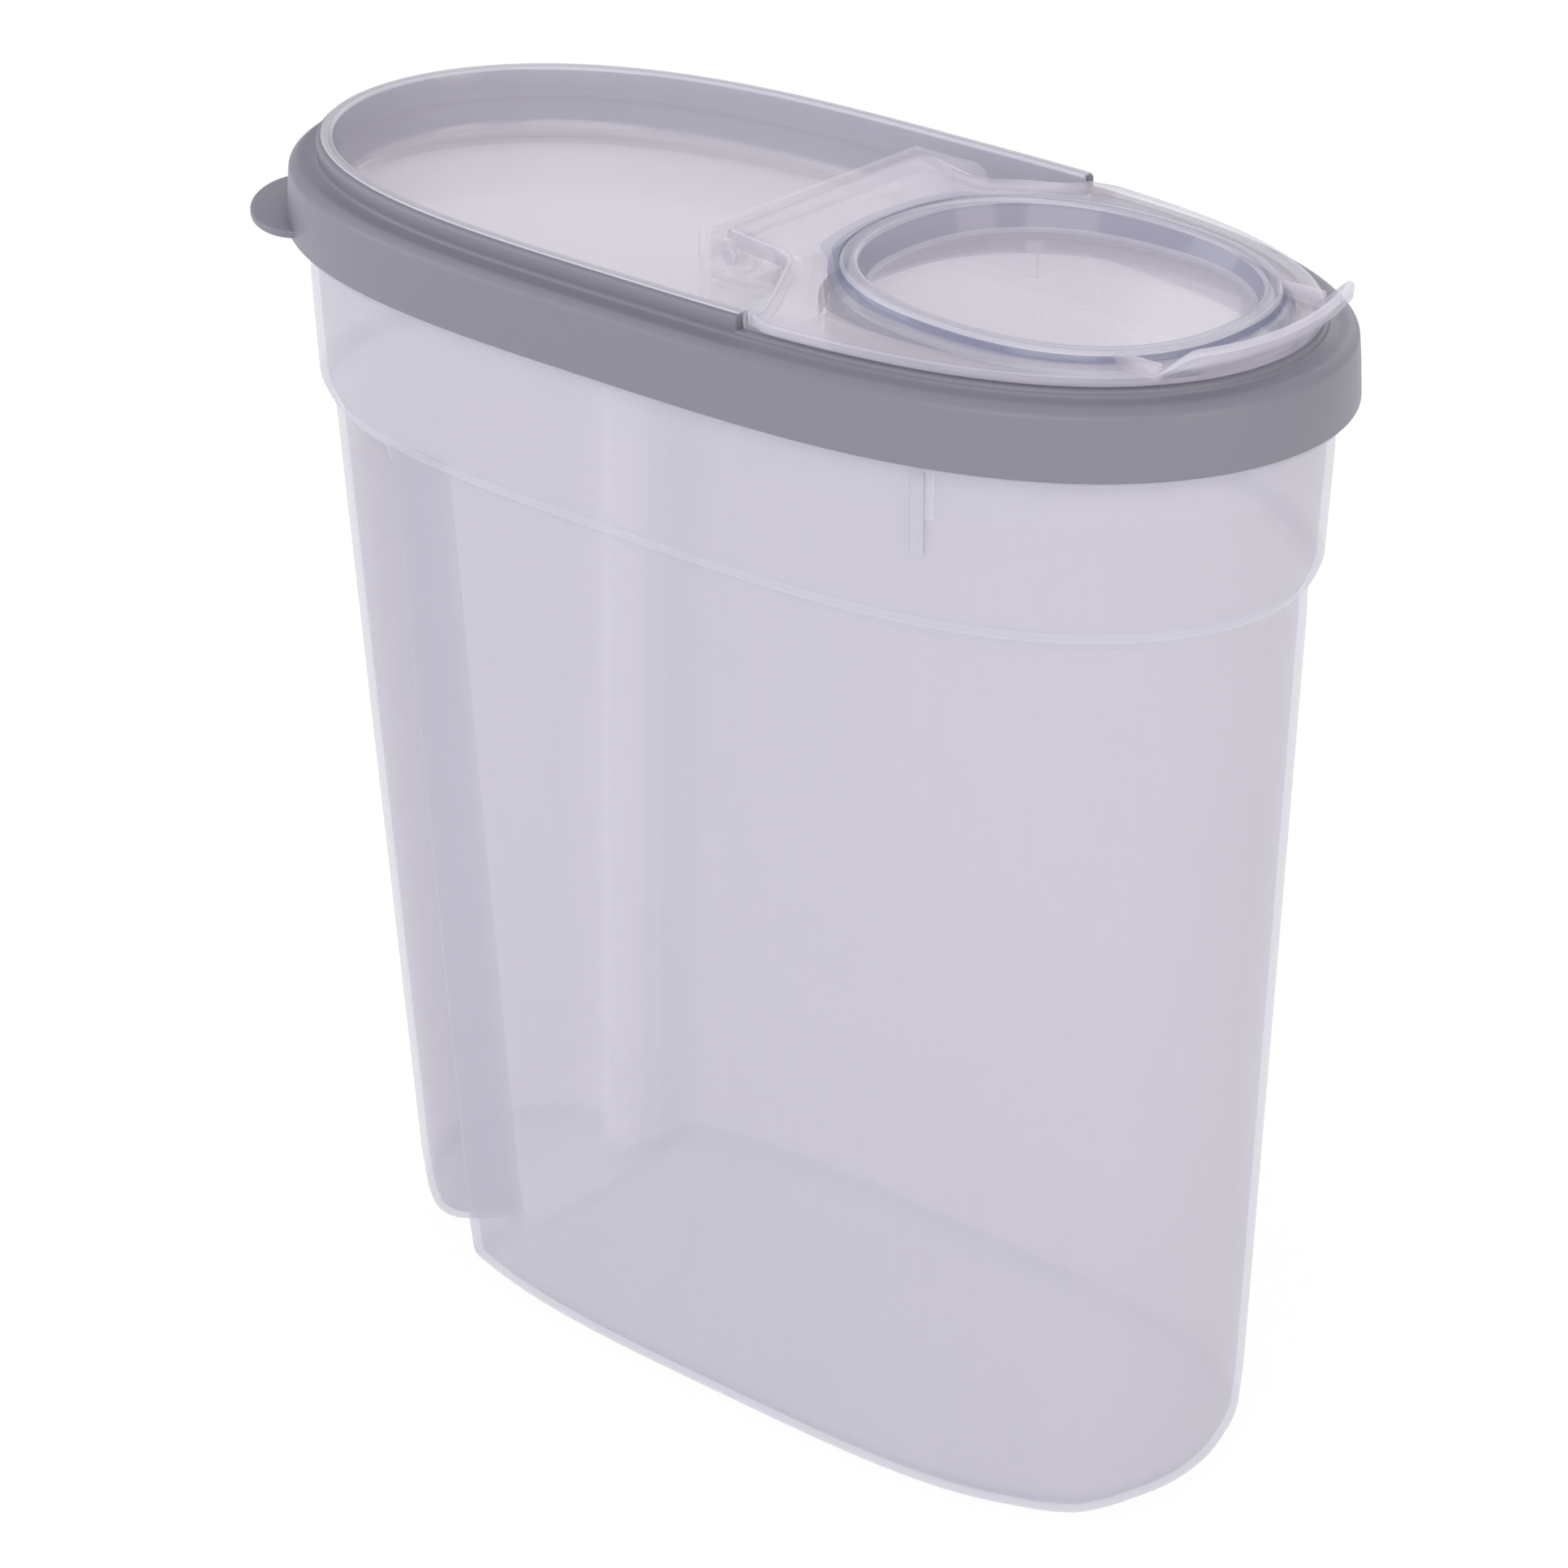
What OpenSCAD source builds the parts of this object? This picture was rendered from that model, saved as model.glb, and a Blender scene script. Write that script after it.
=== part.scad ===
// Dry-food keeper with a lift-off lid and a flip spout.
// A tapered, boat-shaped tub carries a collar with a lifting tab. The collar
// holds a dished clear panel, and a clear cap hinged on the panel closes the
// pouring hole. X runs from the grip end to the spout, Z is up, and the
// origin is the middle of the base.

/* [Plan] */
// Length of the collar, grip end to spout end
collar_l = 216; // [200:1:230]
// Width of the collar
collar_w = 106; // [98:1:114]
// Fullness of the plan outline, 2 is an ellipse
plan_power = 3.2; // [2.8:0.1:3.6]

/* [Container] */
// Height of the rim's clear lip above the table
rim_h = 219; // [180:1:250]
// Thickness of the container wall and floor
wall = 1.4; // [1.2:0.1:1.8]
// Inset of the side wall from the collar outline, at the base
base_inset = 16.2; // [13:0.1:18]
// Radius between the side wall and the base
base_r = 6; // [4:0.5:8]
// Depth of the finger grooves
groove_depth = 14.5; // [8:0.5:16]
// Depth of the shoulder below the rim lip
shoulder_drop = 47.7; // [42:0.1:60]

/* [Collar] */
// Depth of the collar skirt below the rim lip
skirt_drop = 16.2; // [14:0.1:17]
// How far the lifting tab stands out
tab_reach = 6.6; // [5:0.1:8]
// Width of the lifting tab
tab_w = 32; // [24:1:36]

/* [Lid panel] */
// Depth of the dish floor below the rim lip
dish_drop = 12.2; // [9:0.1:12.6]
// Height of the hinge wall above the rim lip
hinge_rise = 3.9; // [3.9:0.1:4.5]

/* [Flip cap] */
// Length of the oval ring
oval_l = 72.9; // [66:0.1:74]
// Width of the oval ring
oval_w = 64.8; // [56:0.1:66]
// Radius of the hinge pins
pin_r = 1.6; // [1.2:0.1:2]
// Height of the thumb lip above the rim lip
thumb_rise = 3.5; // [2.5:0.1:5]
// Opening angle shown, closed is 0
cap_angle = 0; // [0:1:110]

/* [Hidden] */

half_l = collar_l / 2;
half_w = collar_w / 2;
clear_tint = [0.80, 0.79, 0.84];
collar_tint = [0.56, 0.56, 0.60];
overlap = 0.2;       // how far joined solids run into each other
gap = 0.3;           // air between separate mouldings

// Finger groove, in degrees of the outline's own angle
groove_front = 124.8;
groove_deep = 128.2;
groove_rear = 141.5;
groove_fade = 10;    // height over which the groove runs out below the shoulder

// Container
band_inset = 3.9;    // upper band
band_drop = 26;      // where the band turns upright
side_inset = 7.2;    // side wall just below the shoulder
front_power = 4.1;   // the spout end is fuller at the base
rear_power = 2.7;    // and the grip end slimmer
base_shift = 1.2;    // the base sits a little towards the spout
crease_u = 28.5;     // corner between each side and the spout end
crease_spread = 14;
crease_low = 1.4;    // how far it stands out at the base
crease_high = 0.5;   // and below the shoulder
neck_drop = 7.35;    // top of the container's rim
ledge_drop = 16.4;   // top of the ledge under the skirt
ledge_t = 0.95;
ledge_inset = 1;
rib_x = 64;          // small rib on the band
rib_w = 2.6;
rib_h = 15;
rib_drop = 33;
rib_out = 0.6;

// Collar
bead_outer = 5.8;
bead_inner = 7.7;
bead_low = 2.8;      // bead top where the cap closes over it
bead_step_x = 26.8;
tab_lift = 0.7;      // underside of the lifting tab above the skirt's edge
tab_t = 1.5;
tab_u = 206;         // where it stands on the outline
tab_turn = 221;      // and the way it points
tab_root = 3;        // how far its straight side lies inside the outline
roof_drop = 4.1;
roof_under = 5.6;
skirt_inner = 1.7;

// Lid panel
panel_t = 1.3;
panel_outer = bead_inner + gap;
panel_inner = panel_outer + 1.2;
lip_t = 0.35;        // clear lip lying on the bead
lip_outer = 6.6;
platform_drop = 2.8;
tongue_w = 56.8;
tongue_x = 2.1;
shelf_x = 29;        // from here the platform spans the whole width
hinge_wall_t = 1.3;
throat_drop = 9;

// Hinge
cap_rear = 5.2;
axis_x = 8.6;
axis_z = rim_h + 0.5;
ear_r = 4;
heel_r = norm([axis_x - cap_rear, hinge_rise - 0.5]);   // sweep of the cap's rear edge
ear_outer = 25.9;
ear_t = 2;
cheek_inner = 26.6;
cheek_outer = 28.4;
bore_r = pin_r + 0.06;
pin_end = 28.2;
cheek_front = 18.6;

// Flip cap
hinge_flare_x = 27.9;  // the cap's edge leaves the collar here
hinge_flare_y = 44.6;
oval_x = 56.4;
oval_power = 2.3;
cap_inset = 6.4;
cap_t = 1.5;
edge_z = -0.95;      // top of the cap's edge along the collar
edge_low = platform_drop - gap;   // bottom of the cap's edge
edge_h = 2.7;        // most that the edge turns down
ear_top = 2.7;       // the ears run into the deck up to here
ring_rear_z = 2.9;
ring_slope = -0.03;
floor_drop = 2.7;
plug_drop = 5.8;
plug_grow = 1.45;    // the plug stands outside the ring
plug_gap = 0.5;
thumb_y = 22;        // half the width of the thumb lip
thumb_flare = 2;
thumb_t = 1.8;

// ---- outlines ---------------------------------------------------------

// Point of the collar outline at angle u, moved outwards by o
function outline(u, o, power = plan_power) =
    let (c = cos(u), k = abs(c),
         x = half_l * c,
         y = sign(sin(u)) * half_w * sqrt(max(0, 1 - pow(k, power))),
         n = [power * pow(k, power - 1) * sign(c) / half_l, 2 * y / pow(half_w, 2)])
    [x, y] + o * n / norm(n);

// The other side's angles follow from one side's, from 0 to 180 degrees
function both_sides(half) =
    concat(half, [for (i = [len(half) - 2 : -1 : 1]) 360 - half[i]]);

ring_angles = both_sides([for (u = [0 : 5 : 180]) u]);

// The container's angles close up at the finger grooves
body_angles = both_sides(concat(
    [for (k = [0 : 5]) crease_u * k / 6],
    [for (k = [0 : 18]) crease_u + (115 - crease_u) * k / 18],
    [for (u = [118.5, 121.8, groove_front, 125.9, 127, groove_deep]) u],
    [for (k = [1 : 6]) groove_deep + (groove_rear - groove_deep) * k / 6],
    [for (u = [145 : 5 : 180]) u]));

function ramp(t) = max(0, min(1, t));
function ease(t) = let (s = ramp(t)) s * s * (3 - 2 * s);

// Share of the groove's depth at angle u, a steep front and a long soft rear
function groove_share(u) =
    let (a = u > 180 ? 360 - u : u)
    a <= groove_front ? 0
    : a <= groove_deep ? sin(90 * (a - groove_front) / (groove_deep - groove_front))
    : 1 - ease((a - groove_deep) / (groove_rear - groove_deep));

// Share of the spout corner's height at angle u
function crease_share(u) =
    let (a = u > 180 ? 360 - u : u) ramp(1 - abs(a - crease_u) / crease_spread);

// Container outline at height z, with inset i
function body_ring(z, i) =
    let (below = rim_h - shoulder_drop - z,
         low = 1 - ramp(z / (rim_h - shoulder_drop)),
         groove = groove_depth * ease(below / groove_fade),
         crease = (crease_high + (crease_low - crease_high) * low) * ease(below / groove_fade))
    [for (u = body_angles)
        let (end_power = cos(u) > 0 ? front_power : rear_power,
             power = plan_power + (end_power - plan_power) * low,
             p = outline(u, crease * crease_share(u) - i, power))
        [p[0] + base_shift * low, p[1] - sign(p[1]) * groove * groove_share(u)]];

// Outline moved inwards by t, square to itself
function inset_ring(ring, t) =
    let (n = len(ring))
    [for (i = [0 : n - 1])
        let (d = ring[(i + 1) % n] - ring[(i + n - 1) % n])
        ring[i] + t * [-d[1], d[0]] / norm(d)];

function at_height(ring, z) = [for (p = ring) [p[0], p[1], z]];

function side_inset_at(z) =
    let (t = z / (rim_h - shoulder_drop))
    base_inset + (side_inset - base_inset) * t;

// Skin over rings of equal length, listed from the bottom of the outside,
// over the top and down the inside. "closed" joins the last to the first.
module skin(rings, closed = false) {
    n = len(rings[0]);
    m = len(rings);
    last = closed ? m - 1 : m - 2;
    sides = [for (j = [0 : last], i = [0 : n - 1], half = [0, 1])
        let (a = j * n + i, b = j * n + (i + 1) % n,
             c = ((j + 1) % m) * n + (i + 1) % n, d = ((j + 1) % m) * n + i)
        half == 0 ? [a, c, b] : [a, d, c]];
    ends = closed ? [] : [
        [for (i = [0 : n - 1]) i],
        [for (i = [n - 1 : -1 : 0]) (m - 1) * n + i]];
    polyhedron([for (r = rings, p = r) p], concat(sides, ends), convexity = 8);
}

module plan(inset) {
    polygon([for (u = ring_angles) outline(u, -inset)]);
}

module slab(from_drop, to_drop) {
    translate([0, 0, rim_h - from_drop]) linear_extrude(from_drop - to_drop) children();
}

// ---- container --------------------------------------------------------

// Outside of the tub, base to rim: [height, inset]
side_top = rim_h - shoulder_drop;
tub_outside = concat(
    [for (a = [0 : 22.5 : 90])
        let (z = base_r * (1 - cos(a)))
        [z, side_inset_at(z) + base_r * (1 - sin(a))]],
    [for (f = [1, 0.8, 0.6, 0.4, 0.2, 0])
        let (z = side_top - groove_fade * f)
        [z, side_inset_at(z)]],
    [[side_top + 1.7, 5.8], [side_top + 3.7, 4.9], [side_top + 5.7, 4.5],
     [rim_h - band_drop, band_inset]]);

// Inside of the tub, rim to floor
tub_inside = concat(
    [[rim_h - band_drop, band_inset], [side_top + 5.3, 4.5],
     [side_top + 3.1, 4.9], [side_top + 1.0, 5.8]],
    [for (f = [0, 0.2, 0.4, 0.6, 0.8, 1])
        let (z = side_top - 0.6 - groove_fade * f)
        [z, side_inset_at(z)]],
    [for (a = [90 : -30 : 0])
        let (r = base_r - wall)
        [wall + r * (1 - cos(a)), side_inset_at(wall) + r * (1 - sin(a))]]);

module container() {
    rim = rim_h - neck_drop;
    ledge = rim_h - ledge_drop;
    neck = [[ledge - ledge_t, band_inset], [ledge - ledge_t, ledge_inset],
            [ledge, ledge_inset], [ledge, band_inset],
            [rim - 0.3, band_inset], [rim, band_inset + 0.3],
            [rim, band_inset + wall - 0.3], [rim - 0.3, band_inset + wall]];
    color(clear_tint) {
        skin(concat(
            [for (s = tub_outside) at_height(body_ring(s[0], s[1]), s[0])],
            [for (s = neck) at_height(body_ring(s[0], s[1]), s[0])],
            [for (s = tub_inside)
                at_height(inset_ring(body_ring(s[0], s[1]), wall), s[0])]));
        for (side = [-1, 1]) band_rib(side);
    }
}

// Small upright rib on the upper band
module band_rib(side) {
    u = acos(rib_x / half_l);
    p = outline(u, -band_inset);
    d = outline(u - 1, -band_inset) - outline(u + 1, -band_inset);
    translate([p[0], side * p[1], rim_h - rib_drop])
        rotate([0, 0, side * atan2(d[1], d[0])])
            translate([-rib_w / 2, -rib_out, 0]) cube([rib_w, 2 * rib_out, rib_h]);
}

// ---- collar -----------------------------------------------------------

// Section of the collar: [inset, drop below the rim lip]
collar_section = [
    [skirt_inner, skirt_drop], [0.3, skirt_drop], [0, skirt_drop - 0.3],
    [0.35, 10], [0.7, 6.2], [1.1, 4.9], [2, 4.2], [3.4, roof_drop],
    [4.6, roof_drop + 0.1], [5.4, roof_drop - 0.1], [bead_outer, roof_drop - 0.5],
    [bead_outer, bead_low + 0.2], [bead_outer + 0.2, bead_low],
    [bead_inner - 0.2, bead_low], [bead_inner, bead_low + 0.2],
    [bead_inner, roof_under], [2.6, roof_under], [skirt_inner, 6.6],
    [skirt_inner, 9.2], [band_inset - gap, 9.8], [band_inset - gap, 10.6],
    [skirt_inner, 11.2]];

module collar_ring() {
    color(collar_tint) {
        skin([for (s = collar_section)
                [for (u = ring_angles)
                    let (p = outline(u, -s[0])) [p[0], p[1], rim_h - s[1]]]],
            closed = true);
        slab(bead_low + overlap, lip_t) rear_only() ring_band(bead_outer, bead_inner);
        lift_tab();
    }
}

module ring_band(outer, inner) {
    difference() {
        plan(outer);
        plan(inner);
    }
}

// Keeps what lies behind the step in the bead
module rear_only() {
    intersection() {
        children();
        translate([-half_l, -half_w]) square([half_l + bead_step_x, collar_w]);
    }
}

// Half-oval plate at the foot of the skirt, at one grip corner
module lift_tab() {
    corner = outline(tab_u, 0);
    slab(skirt_drop - tab_lift, skirt_drop - tab_lift - tab_t) difference() {
        translate(corner) rotate(tab_turn)
            polygon([for (a = [-90 : 7.5 : 90])
                [(tab_reach + tab_root) * cos(a) - tab_root, tab_w / 2 * sin(a)]]);
        plan(skirt_inner - overlap);
    }
}

// ---- lid panel --------------------------------------------------------

module platform_area(shrink = 0) {
    intersection() {
        plan(panel_inner - overlap);
        union() {
            translate([shelf_x + shrink, -half_w]) square([half_l, collar_w]);
            translate([tongue_x + shrink, -tongue_w / 2 + shrink])
                square([half_l, tongue_w - 2 * shrink]);
        }
    }
}

// The oval of the ring, grown by g
module oval(g) {
    polygon([for (a = [0 : 5 : 355]) oval_point(a, g)]);
}

module lid_panel() {
    plug_hole = plug_grow + plug_gap;
    color(clear_tint) difference() {
        union() {
            slab(7.05, roof_under) ring_band(band_inset + gap + 0.1, panel_outer + overlap);
            slab(dish_drop + panel_t, platform_drop) ring_band(panel_outer, panel_inner);
            slab(platform_drop + overlap, 0) rear_only() ring_band(panel_outer, panel_inner);
            slab(lip_t, 0) rear_only() ring_band(lip_outer, panel_outer + overlap);
            slab(dish_drop + panel_t, dish_drop) difference() {
                plan(panel_inner - overlap);
                platform_area(panel_t);
            }
            slab(dish_drop + panel_t, platform_drop) difference() {
                platform_area();
                platform_area(panel_t);
            }
            slab(platform_drop + panel_t, platform_drop) platform_area();
            slab(throat_drop, platform_drop) oval(plug_hole + panel_t);
            hinge_wall();
            for (side = [-1, 1]) hinge_cheek(side);
            hinge_trough(panel_t, 0);
        }
        slab(throat_drop + overlap, 0) oval(plug_hole);
        hinge_trough(0, 1);
        translate([axis_x, 0, axis_z]) rotate([90, 0, 0])
            cylinder(r = bore_r, h = 2 * (cheek_outer + overlap), center = true, $fn = 48);
    }
}

// Low wall across the lid that the cap's rear edge tucks behind
module hinge_wall() {
    translate([tongue_x, -cheek_outer, rim_h - platform_drop - overlap])
        cube([hinge_wall_t, 2 * cheek_outer, platform_drop + overlap + hinge_rise]);
}

// Upright plate with the bore for a hinge pin
module hinge_cheek(side) {
    t = cheek_outer - cheek_inner;
    corner = 4;
    bottom = rim_h - platform_drop - overlap;
    top = rim_h + hinge_rise;
    translate([0, side > 0 ? cheek_outer : -cheek_inner, 0]) rotate([90, 0, 0])
        linear_extrude(t)
            polygon(concat(
                [[tongue_x, bottom], [cheek_front, bottom]],
                [for (a = [0 : 15 : 90])
                    [cheek_front - corner * (1 - cos(a)), top - corner * (1 - sin(a))]],
                [[tongue_x, top]]));
}

// Trough that the cap's rear edge and ears turn in, grown by g
module hinge_trough(g, cut) {
    rear = tongue_x + hinge_wall_t;
    front = axis_x + ear_r + gap;
    bottom = axis_z - heel_r - gap;
    translate([rear - g, -cheek_inner - (g > 0 ? overlap : 0), bottom - g])
        cube([front - rear + 2 * g, 2 * (cheek_inner + (g > 0 ? overlap : 0)),
              rim_h - platform_drop - bottom + g + cut]);
}

// ---- flip cap ---------------------------------------------------------

function oval_point(a, g) =
    let (l = oval_l / 2 + g, w = oval_w / 2 + g,
         r = pow(pow(abs(cos(a)) / l, oval_power) + pow(abs(sin(a)) / w, oval_power),
                 -1 / oval_power))
    [oval_x + r * cos(a), r * sin(a)];

// One side of the cap's edge, from the spout to the middle of the hinge:
// along the collar, round the flare, in to the hinge
cap_side = concat(
    [for (u = [0 : 3 : 30]) outline(u, -cap_inset)],
    [for (u = [34.5 : 4.5 : 72]) outline(u, -cap_inset)],
    [[hinge_flare_x, hinge_flare_y], [27.5, 42], [26.4, 39], [25, 35.8], [23.6, 33], [22.3, 30.3],
     [21, 27.9], [19.5, 26.4], [17.4, 25.6], [14.6, 25.6], [12.4, 26], [9, 26],
     [6.8, 26], [cap_rear, 24.4]],
    [for (y = [20 : -5 : 0]) [cap_rear, y]]);
cap_edge = concat(cap_side,
    [for (i = [len(cap_side) - 2 : -1 : 1]) [cap_side[i][0], -cap_side[i][1]]]);
cap_dirs = [for (p = cap_edge) atan2(p[1], p[0] - oval_x)];

// Deck height above the rim lip: high at the hinge, easing down to the spout
function deck_z(x) = min(hinge_rise, -1.6 + 5.8 * exp((6 - x) / 40));
function cap_edge_z(p) =
    p[0] > hinge_flare_x ? edge_z
    : let (t = ramp((hinge_flare_y - abs(p[1])) / (hinge_flare_y - ear_outer)))
      edge_z + (deck_z(p[0]) - edge_z) * ease(0.15 + 0.85 * t);

// Point of the deck, f of the way from the oval ring to the cap's edge
function deck_point(i, f, g, down = 0) =
    let (o = oval_point(cap_dirs[i], g), e = cap_edge[i],
         p = o + f * (e - o),
         zo = deck_z(o[0]), ze = cap_edge_z(e))
    [p[0], p[1], rim_h + zo + (ze - zo) * pow(f, 1.5) - down];

function ring_z(x) = rim_h + ring_rear_z + ring_slope * (x - oval_x + oval_l / 2);

function oval_ring(g, down) = [for (a = cap_dirs)
    let (p = oval_point(a, g)) [p[0], p[1], ring_z(p[0]) - down]];

function cap_flange(inset, z_bottom) =
    let (ring = inset_ring(cap_edge, inset))
    [for (i = [0 : len(ring) - 1])
        let (ze = cap_edge_z(cap_edge[i]),
             z = z_bottom ? max(-edge_low, ze - edge_h) : ze - 0.4)
        [ring[i][0], ring[i][1], rim_h + z]];

function cap_under() =
    let (ring = inset_ring(cap_edge, cap_t))
    [for (i = [0 : len(ring) - 1])
        [ring[i][0], ring[i][1], rim_h + max(-edge_low + 0.2, cap_edge_z(cap_edge[i]) - cap_t)]];

// Ring of the cap's rim, from its outer edge over the thumb lip to the deck.
// "plain" is [inset, drop below the edge], "lip" is [inset, drop below the
// lip's top], and the lip fades into the plain edge at its two ends.
function rim_ring(plain, lip) =
    let (n = len(cap_edge))
    [for (i = [0 : n - 1])
        let (e = cap_edge[i],
             d = cap_edge[(i + 1) % n] - cap_edge[(i + n - 1) % n],
             inward = [-d[1], d[0]] / norm(d),
             y = abs(e[1]),
             share = pow(min(1, y / 19), 2),
             tail = e[0] > oval_x ? ramp((thumb_y + 1 - y) / 4) : 0,
             lean = thumb_flare + 2.8 * share,
             inset = plain[0] + (lip[0] - lean - plain[0]) * tail,
             top = thumb_rise + share - lip[1],
             low = cap_edge_z(e) - plain[1],
             p = e + inset * inward)
        [p[0], p[1], rim_h + low + (top - low) * tail]];

module cap_shell() {
    n = len(cap_edge) - 1;
    skin([
        at_height([for (a = cap_dirs) oval_point(a, -2.9)], rim_h - floor_drop - cap_t),
        oval_ring(-2.2, cap_t + 0.3),
        oval_ring(-1.6, cap_t + 0.1),
        at_height([for (a = cap_dirs) oval_point(a, plug_grow - 1.4)], rim_h - plug_drop),
        at_height([for (a = cap_dirs) oval_point(a, plug_grow)], rim_h - plug_drop),
        [for (i = [0 : n]) deck_point(i, 0, plug_grow, cap_t)],
        [for (i = [0 : n]) deck_point(i, 0.5, 0, cap_t)],
        cap_under(),
        cap_flange(cap_t, true),
        cap_flange(0, true),
        cap_flange(0, false),
        rim_ring([0.3, 0], [0, 0.6]),
        rim_ring([0.5, -0.03], [0.5, 0]),
        rim_ring([0.7, -0.05], [thumb_t - 0.5, 0]),
        rim_ring([0.9, -0.07], [thumb_t, 0.6]),
        [for (i = [0 : n]) deck_point(i, 0.85, 0)],
        [for (i = [0 : n]) deck_point(i, 0.5, 0)],
        [for (i = [0 : n]) deck_point(i, 0.2, 0)],
        [for (i = [0 : n]) deck_point(i, 0, 0.2)],
        oval_ring(-0.1, 0.5),
        oval_ring(-0.6, 0),
        oval_ring(-2.6, 0),
        oval_ring(-3.1, 0.5),
        at_height([for (a = cap_dirs) oval_point(a, -4.3)], rim_h - floor_drop)]);
}

// Web from the oval ring to the end of the thumb lip
module thumb_web(side) {
    foot = outline(23.4, -cap_inset - 0.4);
    root = oval_point(37.5, -0.6);
    d = foot - root;
    translate([root[0], side * root[1], 0])
        rotate([90, 0, side * atan2(d[1], d[0])])
            translate([0, 0, -0.7]) linear_extrude(1.4)
                polygon([[0, rim_h - 1.2], [norm(d), rim_h - 2], [norm(d), rim_h + 0.9],
                         [0, rim_h + 0.9]]);
}

// Ear with a pin, turning inside the cheek
module hinge_ear(side) {
    inner = ear_outer - ear_t;
    translate([axis_x, side > 0 ? ear_outer : -inner, 0]) rotate([90, 0, 0]) {
        translate([0, axis_z, 0]) cylinder(r = ear_r, h = ear_t, $fn = 64);
        translate([1 - ear_r, axis_z, 0])
            cube([2 * ear_r - 1, rim_h + ear_top - axis_z, ear_t]);
    }
    translate([axis_x, side * (inner + 0.5), axis_z]) rotate([side * -90, 0, 0])
        cylinder(r = pin_r, h = pin_end - inner - 0.5, $fn = 48);
}

module flip_cap() {
    translate([axis_x, 0, axis_z]) rotate([0, -cap_angle, 0])
        translate([-axis_x, 0, -axis_z])
            color(clear_tint) {
                cap_shell();
                for (side = [-1, 1]) {
                    thumb_web(side);
                    hinge_ear(side);
                }
            }
}

container();
collar_ring();
lid_panel();
flip_cap();
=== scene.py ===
"""Dry-food keeper with a lift-off lid and a flip spout, dressed around its construction model."""
import math

import bmesh
import bpy
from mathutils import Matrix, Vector


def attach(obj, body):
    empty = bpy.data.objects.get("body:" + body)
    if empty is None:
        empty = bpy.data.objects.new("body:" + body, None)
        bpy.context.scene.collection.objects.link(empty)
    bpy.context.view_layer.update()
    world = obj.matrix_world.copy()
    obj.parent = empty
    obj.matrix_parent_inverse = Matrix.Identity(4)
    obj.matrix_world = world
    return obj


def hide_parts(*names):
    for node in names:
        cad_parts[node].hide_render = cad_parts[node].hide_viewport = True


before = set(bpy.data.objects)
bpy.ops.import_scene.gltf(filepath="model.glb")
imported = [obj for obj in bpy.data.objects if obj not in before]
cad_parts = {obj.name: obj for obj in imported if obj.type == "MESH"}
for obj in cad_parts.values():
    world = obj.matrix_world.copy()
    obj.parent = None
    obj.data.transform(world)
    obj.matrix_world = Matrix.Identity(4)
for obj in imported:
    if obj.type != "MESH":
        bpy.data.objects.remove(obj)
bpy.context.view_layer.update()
MM = 0.001
scene = bpy.context.scene

# ---------------------------------------------------------------------------
# Camera. A long lens looks down on the near side and the spout end, from
# half a metre above the table.

AZIMUTH = math.radians(41.02)      # swung from straight ahead towards the spout
ELEVATION = math.radians(25.79)
DISTANCE = 905.1 * MM
AIM = Vector((0, 0, 109.4 * MM))

toward = Vector((math.sin(AZIMUTH) * math.cos(ELEVATION),
                 -math.cos(AZIMUTH) * math.cos(ELEVATION),
                 math.sin(ELEVATION)))
camera = bpy.data.objects.new("camera", bpy.data.cameras.new("camera"))
camera.data.sensor_width = 36
camera.data.lens = 115.5
camera.data.shift_x = -0.0106
camera.data.clip_end = 20
camera.location = AIM + DISTANCE * toward
camera.rotation_euler = toward.to_track_quat("Z", "Y").to_euler()
scene.collection.objects.link(camera)
scene.camera = camera
scene.view_settings.view_transform = "Standard"
scene.cycles.transparent_max_bounces = 40    # the lid alone stacks a dozen clear skins

# ---------------------------------------------------------------------------
# Table. One seamless white sheet, which keeps the container's soft shadow and
# runs far enough to fill the view from every side.


class Sock:
    """One socket of a node tree. Arithmetic adds Math nodes; node() adds any other."""

    def __init__(self, tree, socket=None):
        self.tree = tree
        self.socket = socket

    def node(self, kind, settings=None, inputs=None, output=0):
        made = self.tree.nodes.new(kind)
        for name, value in (settings or {}).items():
            setattr(made, name, value)
        for name, value in (inputs or {}).items():
            if isinstance(value, Sock):
                self.tree.links.new(value.socket, made.inputs[name])
            else:
                made.inputs[name].default_value = value
        return Sock(self.tree, made.outputs[output])

    def math(self, operation, *others, clamp=False):
        return self.node("ShaderNodeMath", {"operation": operation, "use_clamp": clamp},
                         dict(enumerate((self, *others))))

    def __add__(self, other):
        return self.math("ADD", other)

    def __radd__(self, other):
        return self.math("ADD", other)

    def __sub__(self, other):
        return self.math("SUBTRACT", other)

    def __rsub__(self, other):
        return (self * -1) + other

    def __mul__(self, other):
        return self.math("MULTIPLY", other)

    def __rmul__(self, other):
        return self.math("MULTIPLY", other)

    def __truediv__(self, other):
        return self.math("DIVIDE", other)

    def __pow__(self, other):
        return self.math("POWER", other)

    def __abs__(self):
        return self.math("ABSOLUTE")

    def clamp(self):
        return self.math("ADD", 0.0, clamp=True)

    def ease(self):
        t = self.clamp()
        return t * t * (3 - 2 * t)


def new_material(name):
    """A node material with one Principled shader, and its parts."""
    made = bpy.data.materials.new(name)
    made.use_nodes = True
    tree = made.node_tree
    return made, tree, tree.nodes["Principled BSDF"]


TABLE_WHITE = (0.93, 0.93, 0.93, 1)

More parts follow.
